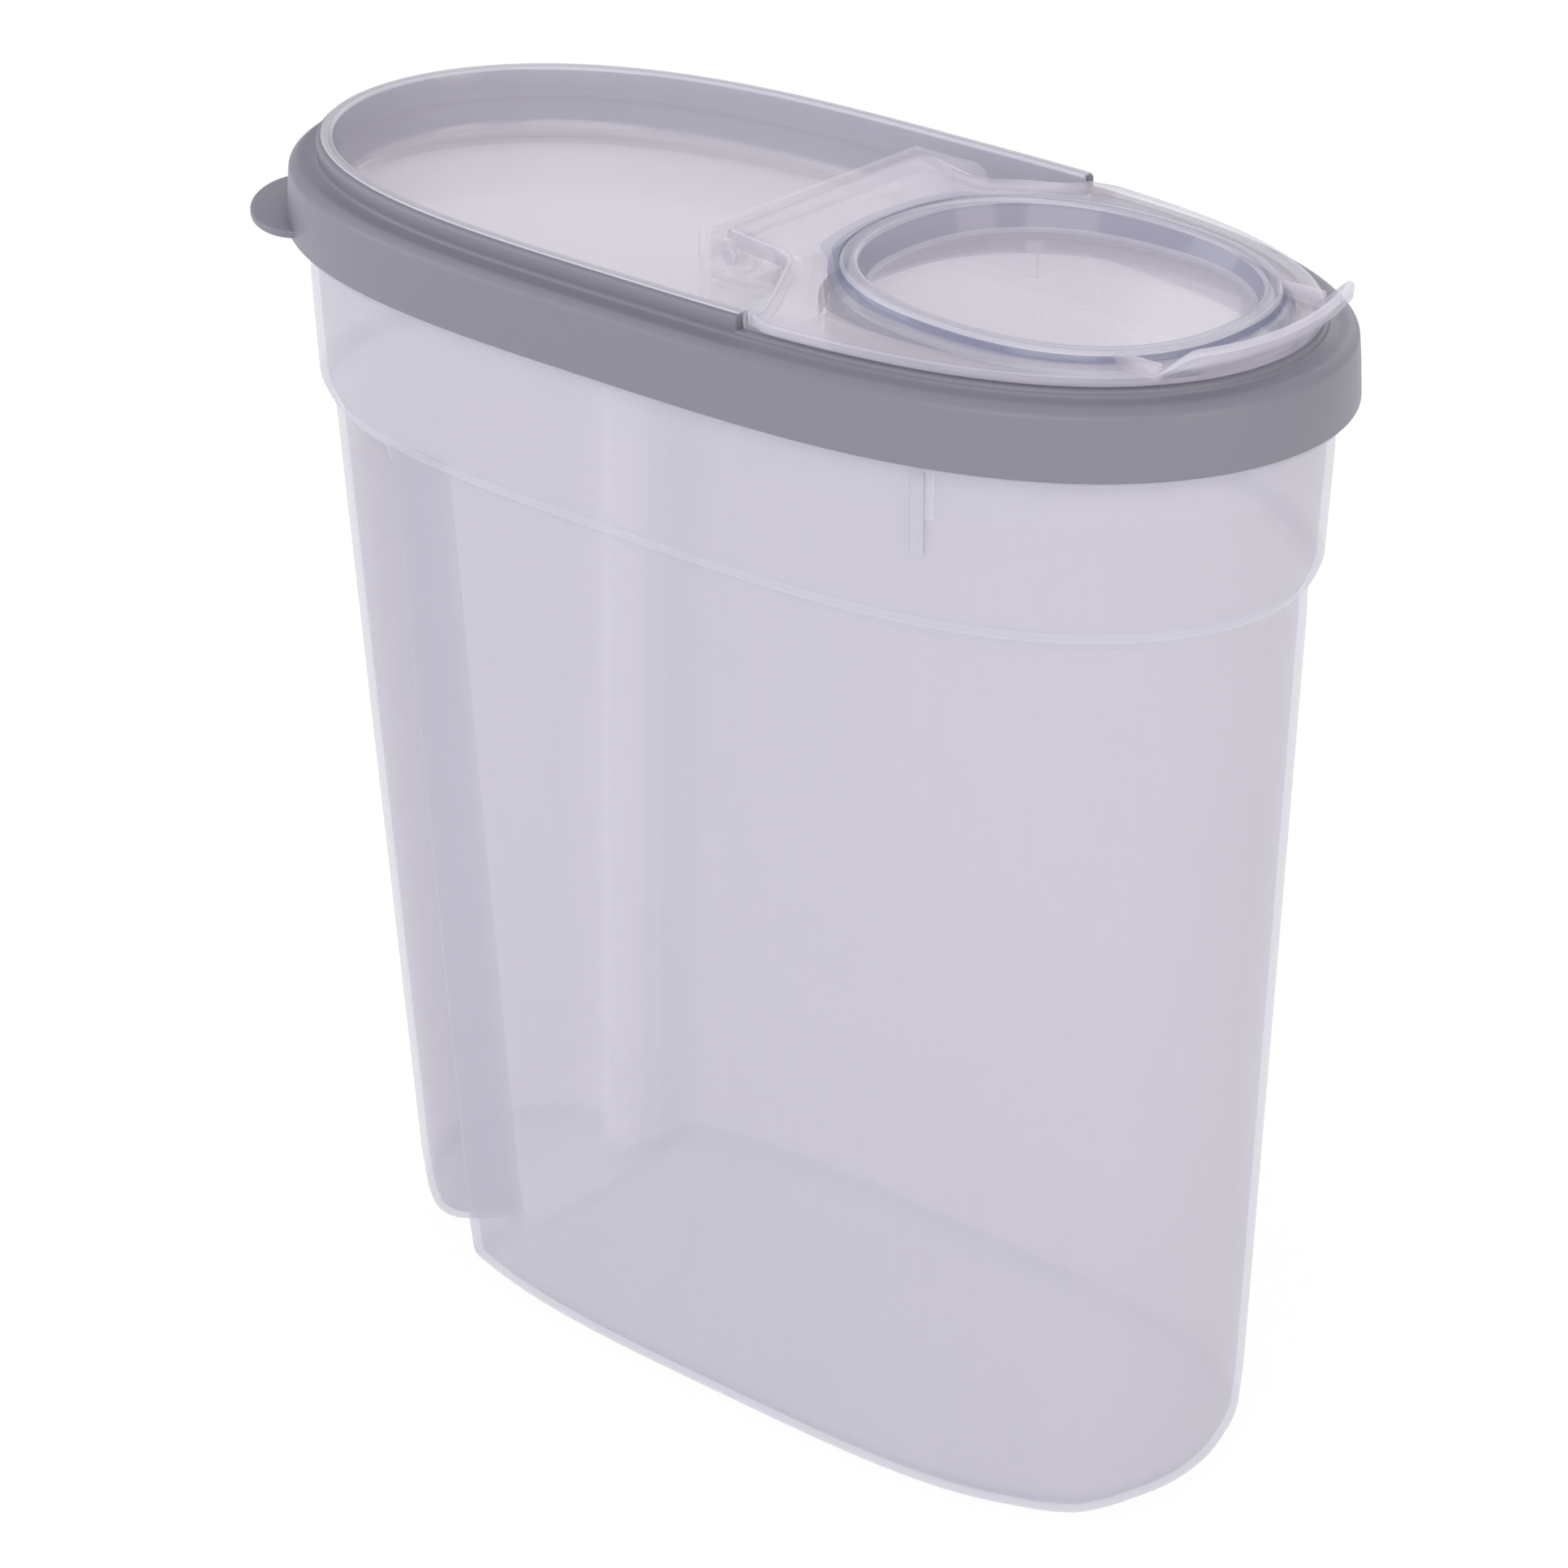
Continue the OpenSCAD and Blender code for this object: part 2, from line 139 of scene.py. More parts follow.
sheet_mesh = bpy.data.meshes.new("table")
TABLE_REACH = 6.0
TABLE_TOP = -0.3 * MM              # a hair below the base, so that the two skins stay apart
sheet_mesh.from_pydata([(x * TABLE_REACH, y * TABLE_REACH, TABLE_TOP)
                        for x, y in ((-1, -1), (1, -1), (1, 1), (-1, 1))], [], [(0, 1, 2, 3)])
table = bpy.data.objects.new("table", sheet_mesh)
scene.collection.objects.link(table)

table_paint, tree, shader = new_material("table_white")
shader.inputs["Base Color"].default_value = TABLE_WHITE
shader.inputs["Roughness"].default_value = 0.9
start = Sock(tree)
ray = start.node("ShaderNodeLightPath")
seen = ray.node("ShaderNodeMath", {"operation": "MAXIMUM"}, {
    0: ray, 1: Sock(tree, ray.socket.node.outputs["Is Glossy Ray"])})
glow = start.node("ShaderNodeEmission", None, {"Color": (1, 1, 1, 1), "Strength": 1.02})
mixed = start.node("ShaderNodeMixShader", None, {
    0: seen * 0.92, 1: Sock(tree, shader.outputs[0]), 2: glow})
tree.links.new(mixed.socket, tree.nodes["Material Output"].inputs["Surface"])
sheet_mesh.materials.append(table_paint)

# ---------------------------------------------------------------------------
# Light. A wide softbox above and in front, a cooler one at the left, a warmer one at the
# right, a weak one behind and a pale room all round, as for a product on a light table.

world = bpy.data.worlds.new("room")
world.use_nodes = True
scene.world = world
sky = world.node_tree
backdrop = sky.nodes["Background"]
backdrop.inputs["Color"].default_value = (0.90, 0.90, 0.93, 1)
backdrop.inputs["Strength"].default_value = 0.75
start = Sock(sky)
ray = start.node("ShaderNodeLightPath")
white = start.node("ShaderNodeBackground", None, {"Color": (1, 1, 1, 1), "Strength": 1.0})
shown = start.node("ShaderNodeMixShader", None, {0: ray, 1: Sock(sky, backdrop.outputs[0]), 2: white})
sky.links.new(shown.socket, sky.nodes["World Output"].inputs["Surface"])


def softbox(name, place, width, height, watts, colour):
    """A rectangular lamp aimed at the middle of the container."""
    lamp = bpy.data.lights.new(name, "AREA")
    lamp.shape = "RECTANGLE"
    lamp.size = width
    lamp.size_y = height
    lamp.energy = watts
    lamp.color = colour
    made = bpy.data.objects.new(name, lamp)
    made.location = place
    made.rotation_euler = (Vector(place) - AIM).to_track_quat("Z", "Y").to_euler()
    scene.collection.objects.link(made)


softbox("front_box", (0.5, -1.3, 0.9), 1.3, 1.1, 7.5, (1.0, 0.99, 0.97))
softbox("left_box", (-1.3, -0.8, 0.7), 0.9, 1.2, 6, (0.88, 0.91, 1.0))
softbox("back_box", (-0.4, 1.4, 0.8), 1.0, 1.0, 3, (0.95, 0.96, 1.0))
softbox("right_box", (1.3, -0.1, 0.6), 0.7, 1.0, 3.5, (1.0, 0.89, 0.80))

# ---------------------------------------------------------------------------
# Tub. A translucent polypropylene moulding, tapered, with a shoulder, a finger
# groove on each side and an upper band that the collar slips over. The skin
# follows the boat-shaped plan by rule, and is then given its wall thickness.

HALF_L = 108 * MM                  # of the collar's plan, from which all insets are taken
HALF_W = 53 * MM
PLAN_POWER = 3.2
RIM = 219 * MM                     # height of the lid's clear lip
WALL = 1.4 * MM
SIDE_TOP = RIM - 47.7 * MM         # where the side wall ends and the shoulder starts
TUB_COLUMNS = 481
LID_COLUMNS = 361
MERGE = 0.01 * MM                  # points closer than this become one

# The section's own sizes stay in millimetres.
BASE_INSET = 16.2
SIDE_INSET = 7.2                   # at the shoulder
BASE_R = 6.0
BAND_INSET = 3.9
BAND_LEVEL = 193.0                 # where the upper band has come upright
LEDGE_INSET = 1.0
LEDGE_LOW = 201.7                  # the stop ledge under the collar
LEDGE_HIGH = 202.6
NECK_TOP = 211.65
RIB_X = 64
RIB_DROP = 33                      # of the rib's foot below the rim
RIB_TALL = 15


def sweep_tree():
    """Geometry Nodes tree: sweeps a section round the boat-shaped plan.

    The section arrives as points (inset, shrink, height). Shrink draws a row in towards
    the centre line, to close a floor. A negative one marks the inside of a wall, where
    the groove's steep face stands a wall's thickness off."""
    tree = bpy.data.node_groups.new("boat_sweep", "GeometryNodeTree")
    face = tree.interface
    face.new_socket("Section", in_out="INPUT", socket_type="NodeSocketGeometry")
    for name, value in (("Half Length", HALF_L), ("Half Width", HALF_W), ("Plan Power", PLAN_POWER),
                        ("Spout Power", PLAN_POWER), ("Grip Power", PLAN_POWER), ("Side Top", SIDE_TOP),
                        ("Base Shift", 0.0), ("Groove Depth", 0.0), ("Groove Fade", 10 * MM),
                        ("Groove Front", 124.8), ("Groove Deep", 128.2), ("Groove Rear", 141.5),
                        ("Wall Turn", 0.95), ("Crease At", 28.5), ("Crease Spread", 14.0),
                        ("Crease High", 0.0), ("Crease Low", 0.0)):
        made = face.new_socket(name, in_out="INPUT", socket_type="NodeSocketFloat")
        made.default_value = value
    for name, value in (("Columns", LID_COLUMNS), ("Rows", 8)):
        made = face.new_socket(name, in_out="INPUT", socket_type="NodeSocketInt")
        made.default_value = value
    face.new_socket("Paint", in_out="INPUT", socket_type="NodeSocketMaterial")
    face.new_socket("Geometry", in_out="OUTPUT", socket_type="NodeSocketGeometry")
    entry = tree.nodes.new("NodeGroupInput")
    given = {s.name: Sock(tree, s) for s in entry.outputs}
    start = Sock(tree)

    rows = given["Rows"]
    grid = start.node("GeometryNodeMeshGrid", None, {
        "Size X": 360.0, "Size Y": rows - 1, "Vertices X": given["Columns"], "Vertices Y": rows})
    place = start.node("GeometryNodeInputPosition")
    angle = start.node("ShaderNodeSeparateXYZ", None, {0: place})     # across the grid, in degrees
    row = (Sock(tree, angle.socket.node.outputs["Y"]) + (rows - 1) / 2).math("ROUND")
    profile = start.node("GeometryNodeSampleIndex", {"data_type": "FLOAT_VECTOR"}, {
        "Geometry": given["Section"], "Value": place, "Index": row})
    spread = start.node("ShaderNodeSeparateXYZ", None, {0: profile})
    inset, flagged, height = (Sock(tree, spread.socket.node.outputs[i]) for i in range(3))
    shrink = abs(flagged)
    wall_turn = given["Wall Turn"] * flagged.math("LESS_THAN", 0.0)

    turn = angle * (math.pi / 180)
    c = turn.math("COSINE")
    side = turn.math("SINE").math("SIGN")
    low = (1 - height / given["Side Top"]).clamp()
    front = c.math("GREATER_THAN", 0.0)
    end_power = given["Grip Power"] + (given["Spout Power"] - given["Grip Power"]) * front
    power = given["Plan Power"] + (end_power - given["Plan Power"]) * low
    x = c * given["Half Length"]
    y = side * given["Half Width"] * (1 - abs(c) ** power).math("MAXIMUM", 0.0).math("SQRT")
    nx = power * abs(c) ** (power - 1) * c.math("SIGN") / given["Half Length"]
    ny = 2 * y / (given["Half Width"] * given["Half Width"])
    size = (nx * nx + ny * ny).math("SQRT")

    steep = ((abs(angle) + wall_turn - given["Groove Front"])
             / (given["Groove Deep"] - given["Groove Front"])).clamp() * (math.pi / 2)
    past = abs(angle) - given["Groove Deep"]
    soft = 1 - (past / (given["Groove Rear"] - given["Groove Deep"])).ease()
    fade = ((given["Side Top"] - height) / given["Groove Fade"]).ease()
    groove = given["Groove Depth"] * fade * steep.math("SINE").math("MINIMUM", soft)
    corner = (1 - abs(abs(angle) - given["Crease At"]) / given["Crease Spread"]).clamp()
    crease = (given["Crease High"] + (given["Crease Low"] - given["Crease High"]) * low) * fade * corner

    out_x = x + (crease - inset) * nx / size + given["Base Shift"] * low
    out_y = y + (crease - inset) * ny / size - side * groove
    moved = start.node("ShaderNodeCombineXYZ", None, {
        0: out_x, 1: out_y * shrink, 2: height})
    skin = start.node("GeometryNodeSetPosition", None, {"Geometry": grid, "Position": moved})
    joined = start.node("GeometryNodeMergeByDistance", None, {"Geometry": skin, "Distance": MERGE})
    real = start.node("GeometryNodeRealizeInstances", None, {"Geometry": joined})
    painted = start.node("GeometryNodeSetMaterial", None, {"Geometry": real, "Material": given["Paint"]})
    leave = tree.nodes.new("NodeGroupOutput")
    tree.links.new(painted.socket, leave.inputs["Geometry"])
    return tree


BOAT_SWEEP = sweep_tree()


def rounded(corners, steps):
    """A section's points, with each corner (inset, height, radius) turned into an arc.

    Insets and drops are in millimetres, the result is in metres."""
    points = []
    count = len(corners)
    for i, (a, b, radius) in enumerate(corners):
        here = Vector((a, b))
        before = Vector(corners[i - 1][:2]) - here
        after = Vector(corners[(i + 1) % count][:2]) - here
        if radius == 0:
            points.append(here * MM)
            continue
        bend = before.angle(after)
        cut = min(radius / math.tan(bend / 2), 0.49 * before.length, 0.49 * after.length)
        first = here + before.normalized() * cut
        last = here + after.normalized() * cut
        for k in range(steps + 1):
            t = k / steps
            points.append((first * (1 - t) ** 2 + here * 2 * t * (1 - t) + last * t * t) * MM)
    return points


def plain_mesh(made, name):
    """The evaluated object as a new plain object with no modifiers."""
    bpy.context.view_layer.update()
    graph = bpy.context.evaluated_depsgraph_get()
    mesh = bpy.data.meshes.new_from_object(made.evaluated_get(graph))
    old = made.data
    bpy.data.objects.remove(made)
    if old.users == 0:
        bpy.data.meshes.remove(old)
    mesh.name = name
    result = bpy.data.objects.new(name, mesh)
    scene.collection.objects.link(result)
    return result


def boat(name, section, paint, closed=False, columns=LID_COLUMNS, **sizes):
    """An object swept round the plan from a section of (inset, shrink, height) points."""
    points = [Vector(p) for p in section]
    if closed:
        points.append(points[0])
    mesh = bpy.data.meshes.new(name + "_section")
    mesh.from_pydata(points, [], [])
    made = bpy.data.objects.new(name + "_raw", mesh)
    scene.collection.objects.link(made)
    nodes = made.modifiers.new("sweep", "NODES")
    nodes.node_group = BOAT_SWEEP
    values = dict(sizes, Rows=len(points), Columns=columns, Paint=paint)
    for item in BOAT_SWEEP.interface.items_tree:
        key = item.name.replace(" ", "_")
        if item.in_out == "INPUT" and key in values:
            nodes[item.identifier] = values[key]
    return plain_mesh(made, name)


def face_outwards(made):
    """Turns all the faces outwards, once the doubles are merged."""
    work = bmesh.new()
    work.from_mesh(made.data)
    bmesh.ops.remove_doubles(work, verts=work.verts, dist=MERGE)
    bmesh.ops.recalc_face_normals(work, faces=work.faces)
    work.to_mesh(made.data)
    work.free()


def smooth(made, degrees=32):
    """Smooth shading, kept crisp where the faces turn by more than this."""
    made.data.polygons.foreach_set("use_smooth", [True] * len(made.data.polygons))
    made.data.set_sharp_from_angle(angle=math.radians(degrees))


def clear_plastic(name, flat, steep, body, wall_body, rough, streaks=0.0):
    """See-through polypropylene: "flat" colour and milkiness "body" over most of it, "steep" and
    "wall_body" where a standing wall is seen through its own depth. The "steep" colour is darker
    and bluer: partly that depth, partly painted shade. The face attribute "deep" goes from one to
    the other, past 1 in the thickest walls and below 0 in the thinnest. Rounded corners get a
    painted highlight, pale lines in the colour EDGE_LIGHT, by the attribute "edge"."""
    made, tree, shader = new_material(name)
    start = Sock(tree)
    place = start.node("ShaderNodeTexCoord", None, None, "Object")
    drawn = start.node("ShaderNodeMapping", None, {"Vector": place, "Scale": (150.0, 150.0, 3.0)})
    lines = start.node("ShaderNodeTexNoise", None, {
        "Vector": drawn, "Scale": 1.0, "Detail": 3.0, "Roughness": 0.6})
    flow = start.node("ShaderNodeTexNoise", None, {
        "Vector": place, "Scale": 22.0, "Detail": 3.0, "Roughness": 0.55, "Distortion": 0.6})
    cloud = (flow - 0.5) * 0.30 + (lines - 0.5) * streaks
    edge = start.node("ShaderNodeAttribute", {"attribute_name": "edge"}, None, "Fac")
    deep = start.node("ShaderNodeAttribute", {"attribute_name": "deep"}, None, "Fac")
    # Painted shade: standing walls turn to the darker, bluer steep colour by the attribute deep, partly for
    # their depth.
    tint = start.node("ShaderNodeMix", {"data_type": "RGBA", "clamp_factor": False}, {
        0: (deep + cloud * 0.5).math("MAXIMUM", 0.0), 6: tuple(flat) + (1,), 7: tuple(steep) + (1,)}, 2)
    # Painted highlight: faces marked by the attribute edge turn towards EDGE_LIGHT.
    lit = start.node("ShaderNodeMix", {"data_type": "RGBA"}, {
        0: edge * 0.8, 6: tint, 7: EDGE_LIGHT + (1,)}, 2)
    alpha = (body + deep * (wall_body - body) + cloud * 0.12 + edge * EDGE_BODY).clamp()
    tree.links.new(lit.socket, shader.inputs["Base Color"])
    tree.links.new(alpha.socket, shader.inputs["Alpha"])
    skin = start.node("ShaderNodeTexNoise", None, {"Vector": place, "Scale": 900.0, "Detail": 2.0})
    finish = rough + (flow - 0.5) * 0.08
    tree.links.new(finish.socket, shader.inputs["Roughness"])
    bump = start.node("ShaderNodeBump", None, {
        "Strength": 0.06, "Distance": 0.0002, "Height": skin * 0.35 + lines * 0.65 * (1 if streaks else 0)},
        "Normal")
    tree.links.new(bump.socket, shader.inputs["Normal"])
    shader.inputs["IOR"].default_value = 1.49
    shader.inputs["Specular IOR Level"].default_value = 0.75
    return made


EDGE_LIGHT = (0.76, 0.80, 0.91)    # painted highlight: the light that rounded corners gather
# Milkiness added under the painted highlight, so that it shows.
EDGE_BODY = 0.28
# The steep colour is partly the walls' depth, partly painted shade.
tub_paint = clear_plastic("milky_polypropylene", flat=(0.615, 0.585, 0.68), steep=(0.42, 0.43, 0.56),
                          body=0.36, wall_body=0.48, rough=0.30, streaks=0.22)


def side_inset(z):
    """Inset of the side wall at height z, in millimetres."""
    return BASE_INSET + (SIDE_INSET - BASE_INSET) * z / (SIDE_TOP / MM)


def wall_rows(first, last, count, sign=1.0, below=0.0):
    """Rows up or down the side wall between two heights, in millimetres."""
    heights = [first + (last - first) * k / count for k in range(count + 1)]
    return [(side_inset(z) + below, sign, z) for z in heights]


def corner_rows(centre_inset, floor, radius, sign, steps=8):
    """Rows round the corner between the wall and the base, from the base up."""
    rows = []
    for k in range(steps + 1):
        a = math.radians(90 * k / steps)
        rows.append((centre_inset - radius * math.sin(a), sign, floor + radius * (1 - math.cos(a))))
    return rows


def tub_section():
    """Both skins of the tub, from the middle below to the rim and back to the floor.

    Points are (inset, shrink, height) in metres, negative shrink on the inside."""
    wall = WALL / MM
    neck_inset = BAND_INSET + wall
    centre = side_inset(0) + BASE_R
    rows = [(centre, shrink, 0.0) for shrink in (0.0, 0.2, 0.4, 0.6, 0.8, 0.93)]
    rows += corner_rows(centre, 0.0, BASE_R, 1.0)
    rows += wall_rows(12, 150, 16) + wall_rows(151.5, 169.5, 12)
    shoulder = [(7.22, 171.0, 0), (7.1, 171.4, 0), (5.7, 173.0, 1.4), (4.75, 175.2, 2.0)]
    band = [(BAND_INSET, BAND_LEVEL, 20), (BAND_INSET, LEDGE_LOW, 0.0)]
    ledge = [(LEDGE_INSET, LEDGE_LOW, 0.2), (LEDGE_INSET, LEDGE_HIGH, 0.2), (BAND_INSET, LEDGE_HIGH, 0.3)]
    neck = [(BAND_INSET, NECK_TOP, 0.5), (neck_inset, NECK_TOP, 0.5), (neck_inset, BAND_LEVEL, 20)]
    back_down = [(6.15, 175.0, 2.0), (7.1, 172.4, 1.4), (8.5, 170.6, 0)]
    outside = rounded(shoulder + band + ledge + neck + back_down, 5)
    top = max(range(len(outside)), key=lambda i: outside[i].y)
    rows += [(p.x / MM, 1.0 if i <= top else -1.0, p.y / MM) for i, p in enumerate(outside[1:], 1)]
    rows += wall_rows(169, 151, 12, -1.0, wall) + wall_rows(149, 12, 15, -1.0, wall)
    rows += corner_rows(centre, wall, BASE_R - wall, -1.0)[::-1]
    rows += [(centre, -shrink, wall) for shrink in (0.93, 0.8, 0.6, 0.4, 0.2, 0.0001)]
    return [(inset * MM, shrink, z * MM) for inset, shrink, z in rows]


def outline(u, inset=0.0):
    """Point of the plan at angle u in degrees, moved in by inset, in metres."""
    c = math.cos(math.radians(u))
    s = math.sin(math.radians(u))
    k = abs(c)
    x = HALF_L * c
    y = math.copysign(HALF_W * math.sqrt(max(0.0, 1 - k ** PLAN_POWER)), s)
    normal = Vector((PLAN_POWER * k ** (PLAN_POWER - 1) * math.copysign(1, c) / HALF_L, 2 * y / HALF_W ** 2))
    return Vector((x, y)) - inset * normal.normalized()


def solid(name, verts, faces, paint):
    """A closed object from its points and faces, with the faces turned outwards."""
    mesh = bpy.data.meshes.new(name)
    mesh.from_pydata(verts, [], faces)
    mesh.materials.append(paint)
    made = bpy.data.objects.new(name, mesh)
    scene.collection.objects.link(made)
    face_outwards(made)
    return made


def walls(count):
    """Faces between two outlines of count points, one listed after the other."""
    return [(i, (i + 1) % count, count + (i + 1) % count, count + i) for i in range(count)]


def prism(name, points, bottom, top, paint):
    """A closed upright slab over a plan outline."""
    count = len(points)
    verts = [(p[0], p[1], bottom) for p in points] + [(p[0], p[1], top) for p in points]
    ends = [tuple(range(count))[::-1], tuple(range(count, 2 * count))]
    return solid(name, verts, ends + walls(count), paint)


def soften(made, width, degrees=40, segments=2):
    """Breaks the sharp edges with a small radius."""
    edge = made.modifiers.new("edges", "BEVEL")
    edge.width = width
    edge.segments = segments
    edge.limit_method = "ANGLE"
    edge.angle_limit = math.radians(degrees)
    made = plain_mesh(made, made.name)
    smooth(made, 40)
    return made


def join(name, *parts):
    """One object from several, with their materials kept."""
    for part in bpy.context.selected_objects:
        part.select_set(False)
    for part in parts:
        part.select_set(True)
    bpy.context.view_layer.objects.active = parts[0]
    bpy.ops.object.join()
    parts[0].name = name
    parts[0].data.name = name
    return parts[0]


CORNER_WIDTH = 0.3 * MM            # only a face narrower than this is part of a corner
CORNER_LEAST = 12.0                # degrees of turn at which it starts to gather light
CORNER_MOST = 22.0                 # and from which it gathers all it can


def mark_faces(made, depth, lines=None, lit_from=0.0):
    """Writes the face attributes that the clear plastics read.

    "edge" is 1 on the narrow faces that turn a corner, no lower than "lit_from" mm, or
    it is lines(centre in mm); it places a painted highlight. "deep" is how far the light runs
    inside a standing wall, by depth(centre in mm), and sets its painted shade; where that is
    negative, flat faces are thinned as well."""
    work = bmesh.new()
    work.from_mesh(made.data)
    edge = work.faces.layers.float.new("edge")
    deep = work.faces.layers.float.new("deep")
    for f in work.faces:
        area = f.calc_area()
        turn = 0.0
        for e in f.edges:
            length = e.calc_length()
            if length > 0 and area / length < CORNER_WIDTH:
                turn = max(turn, math.degrees(e.calc_face_angle(0.0)))
        centre = f.calc_center_median() / MM
        lit = centre.z >= lit_from
        f[edge] = max(0.0, min(1.0, (turn - CORNER_LEAST) / (CORNER_MOST - CORNER_LEAST))) * lit
        if lines:
            f[edge] = lines(centre)
        upright = max(0.0, min(1.0, 1.25 - 1.6 * abs(f.normal.z)))
        run = depth(centre)
        f[deep] = min(run, upright * max(0.0, run))
    work.to_mesh(made.data)
    work.free()


def band_rib(side):
    """Small upright rib on the upper band."""
    half_width, stand_out, face_share = 1.3 * MM, 0.6 * MM, 0.8
    at = math.degrees(math.acos(RIB_X * MM / HALF_L))
    foot, ahead, behind = (outline(side * (at + d), BAND_INSET * MM) for d in (0, -1, 1))
    along = (ahead - behind).normalized() * half_width
    out = Vector((along.y, -along.x)).normalized() * stand_out * side
    narrow = along * face_share
    plan = [foot - along - out, foot + along - out, foot + narrow + out, foot - narrow + out]
    return soften(prism("rib", plan, RIM - RIB_DROP * MM, RIM - (RIB_DROP - RIB_TALL) * MM, tub_paint),
                  0.3 * MM)


tub = boat("tub", tub_section(), tub_paint, columns=TUB_COLUMNS, Spout_Power=4.1, Grip_Power=2.7,
           Base_Shift=1.2 * MM, Groove_Depth=14.5 * MM, Crease_High=0.5 * MM, Crease_Low=1.4 * MM)
face_outwards(tub)
smooth(tub)
tub = join("tub", tub, band_rib(-1), band_rib(1))


def past_groove_corner(c):
    """How far a point in mm lies behind the groove's front corner, which leans with the taper."""
    corner = -55.9 - 4.0 * c.z * MM / SIDE_TOP
    return corner - c.x


def tub_painted_highlights(c):
    """Painted highlights where the tub's corners gather light: shoulder, ledge, groove corner, base and rib.
    """
    def line(strength, away, reach):
        return strength * (1 - abs(away) / reach)

    side_top = SIDE_TOP / MM
    lit = [line(0.75, c.z - side_top - 1.6, 2.2), line(0.5, c.z - LEDGE_LOW - 0.4, 1.2),
           line(0.35, c.z - 2.2, 2.6)]
    if c.z < side_top:
        lit.append(line(0.6, past_groove_corner(c) - 0.6, 1.6))
    # Painted highlight on each rib, running on up the band and neck above it.
    if abs(c.x - RIB_X) < 1.6 and c.z > RIM / MM - RIB_DROP - 1 and abs(c.y) > 40:
        lit.append(0.45)
    return max(0.0, *lit)


def tub_depth_and_shade(c):
    """How deep the tub's walls are seen, and so their painted shade: thickest round the base corner, thin at
    the grooves.
    """
    past = past_groove_corner(c)
    groove = max(0.0, min(1.0, past / 3, (24 - past) / 8, (SIDE_TOP / MM - c.z) / 8))
    base = max(0.0, 1 - abs(c.z - 4.0) / 4.5)
    return 0.55 * base - 0.5 * groove


mark_faces(tub, tub_depth_and_shade, tub_painted_highlights)
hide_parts("container")
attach(tub, "tub")

# ---------------------------------------------------------------------------
# Collar. A satin grey moulding with a skirt, a shallow roof and an upright bead
# round its inner edge. The bead stops short of the spout end, where the cap closes,
# and a tab at the foot of the skirt lifts the lid.


def section_at(corners, steps=4):
    """Closed section from corners (inset, drop below the rim, radius), in metres."""
    return [(p.x, 1.0, RIM - p.y) for p in rounded(corners, steps)]


def satin_plastic(name, colour):
    """Opaque moulded plastic with a fine grain and a satin sheen."""
    made, tree, shader = new_material(name)
    start = Sock(tree)
    place = start.node("ShaderNodeTexCoord", None, None, "Object")
    grain = start.node("ShaderNodeTexNoise", None, {"Vector": place, "Scale": 1400.0, "Detail": 2.0})
    flow = start.node("ShaderNodeTexNoise", None, {"Vector": place, "Scale": 14.0, "Detail": 2.0})
    dark = tuple(v * 0.93 for v in colour) + (1,)
    tint = start.node("ShaderNodeMix", {"data_type": "RGBA"}, {
        0: (flow * 0.7 + grain * 0.3).clamp(), 6: dark, 7: tuple(colour) + (1,)}, 2)
    tree.links.new(tint.socket, shader.inputs["Base Color"])
    finish = 0.40 + (grain - 0.5) * 0.12
    tree.links.new(finish.socket, shader.inputs["Roughness"])
    bump = start.node("ShaderNodeBump", None, {
        "Strength": 0.12, "Distance": 0.00015, "Height": grain}, "Normal")
    tree.links.new(bump.socket, shader.inputs["Normal"])
    return made


collar_paint = satin_plastic("grey_satin", (0.225, 0.22, 0.268))

collar = boat("collar", section_at([
    (1.7, 16.2, 0.2), (0.0, 16.2, 0.3), (0.35, 10, 8), (0.75, 5.4, 1.6), (2.2, 4.15, 1.6),
    (4.2, 4.25, 4), (5.8, 4.0, 0.7), (5.8, 2.8, 0.6), (7.7, 2.8, 0.45), (7.7, 5.6, 0.2),
    (2.6, 5.6, 0.6), (1.7, 6.6, 0.6), (1.7, 9.2, 0.2), (3.6, 9.8, 0.3), (3.6, 10.6, 0.3),
    (1.7, 11.2, 0.2)]), collar_paint, closed=True)
face_outwards(collar)


def keep_behind(made, x):
    """Cuts a closed piece off square at x and closes the cut."""
    work = bmesh.new()
    work.from_mesh(made.data)
    whole = work.verts[:] + work.edges[:] + work.faces[:]
    cut = bmesh.ops.bisect_plane(work, geom=whole, plane_co=(x, 0, 0), plane_no=(1, 0, 0),
                                 clear_outer=True)
    rim = [e for e in cut["geom_cut"] if isinstance(e, bmesh.types.BMEdge)]
    bmesh.ops.holes_fill(work, edges=rim)
    bmesh.ops.recalc_face_normals(work, faces=work.faces)
    work.to_mesh(made.data)
    work.free()


BEAD_STEP = 26.8 * MM              # where the bead ends, and the dish's lip drops to the platform
bead = boat("bead", section_at([
    (5.8, 3.5, 0), (5.8, 0.36, 1.0), (7.7, 0.36, 0.4), (7.7, 3.5, 0)], 6), collar_paint, closed=True)
face_outwards(bead)
keep_behind(bead, BEAD_STEP)
bead = soften(bead, 0.5 * MM, 60, 3)


def combine(base, operation, other, name=None):
    """Joins or cuts two closed pieces into one plain mesh."""
    cut = base.modifiers.new("combine", "BOOLEAN")
    cut.operation = operation
    cut.solver = "MANIFOLD"
    cut.object = other
    made = plain_mesh(base, name or base.name)
    bpy.data.objects.remove(other)
    return made


TAB_AT = 206                       # angle round the plan, in degrees
TAB_TURN = math.radians(221)       # the way that the tab points
TAB_REACH = 6.6                    # beyond the skirt, in mm
TAB_ROOT = 3.0                     # and inside it, where the skirt's shape is cut from it
TAB_HALF = 16.0
TAB_DROP = 15.5
TAB_T = 1.5


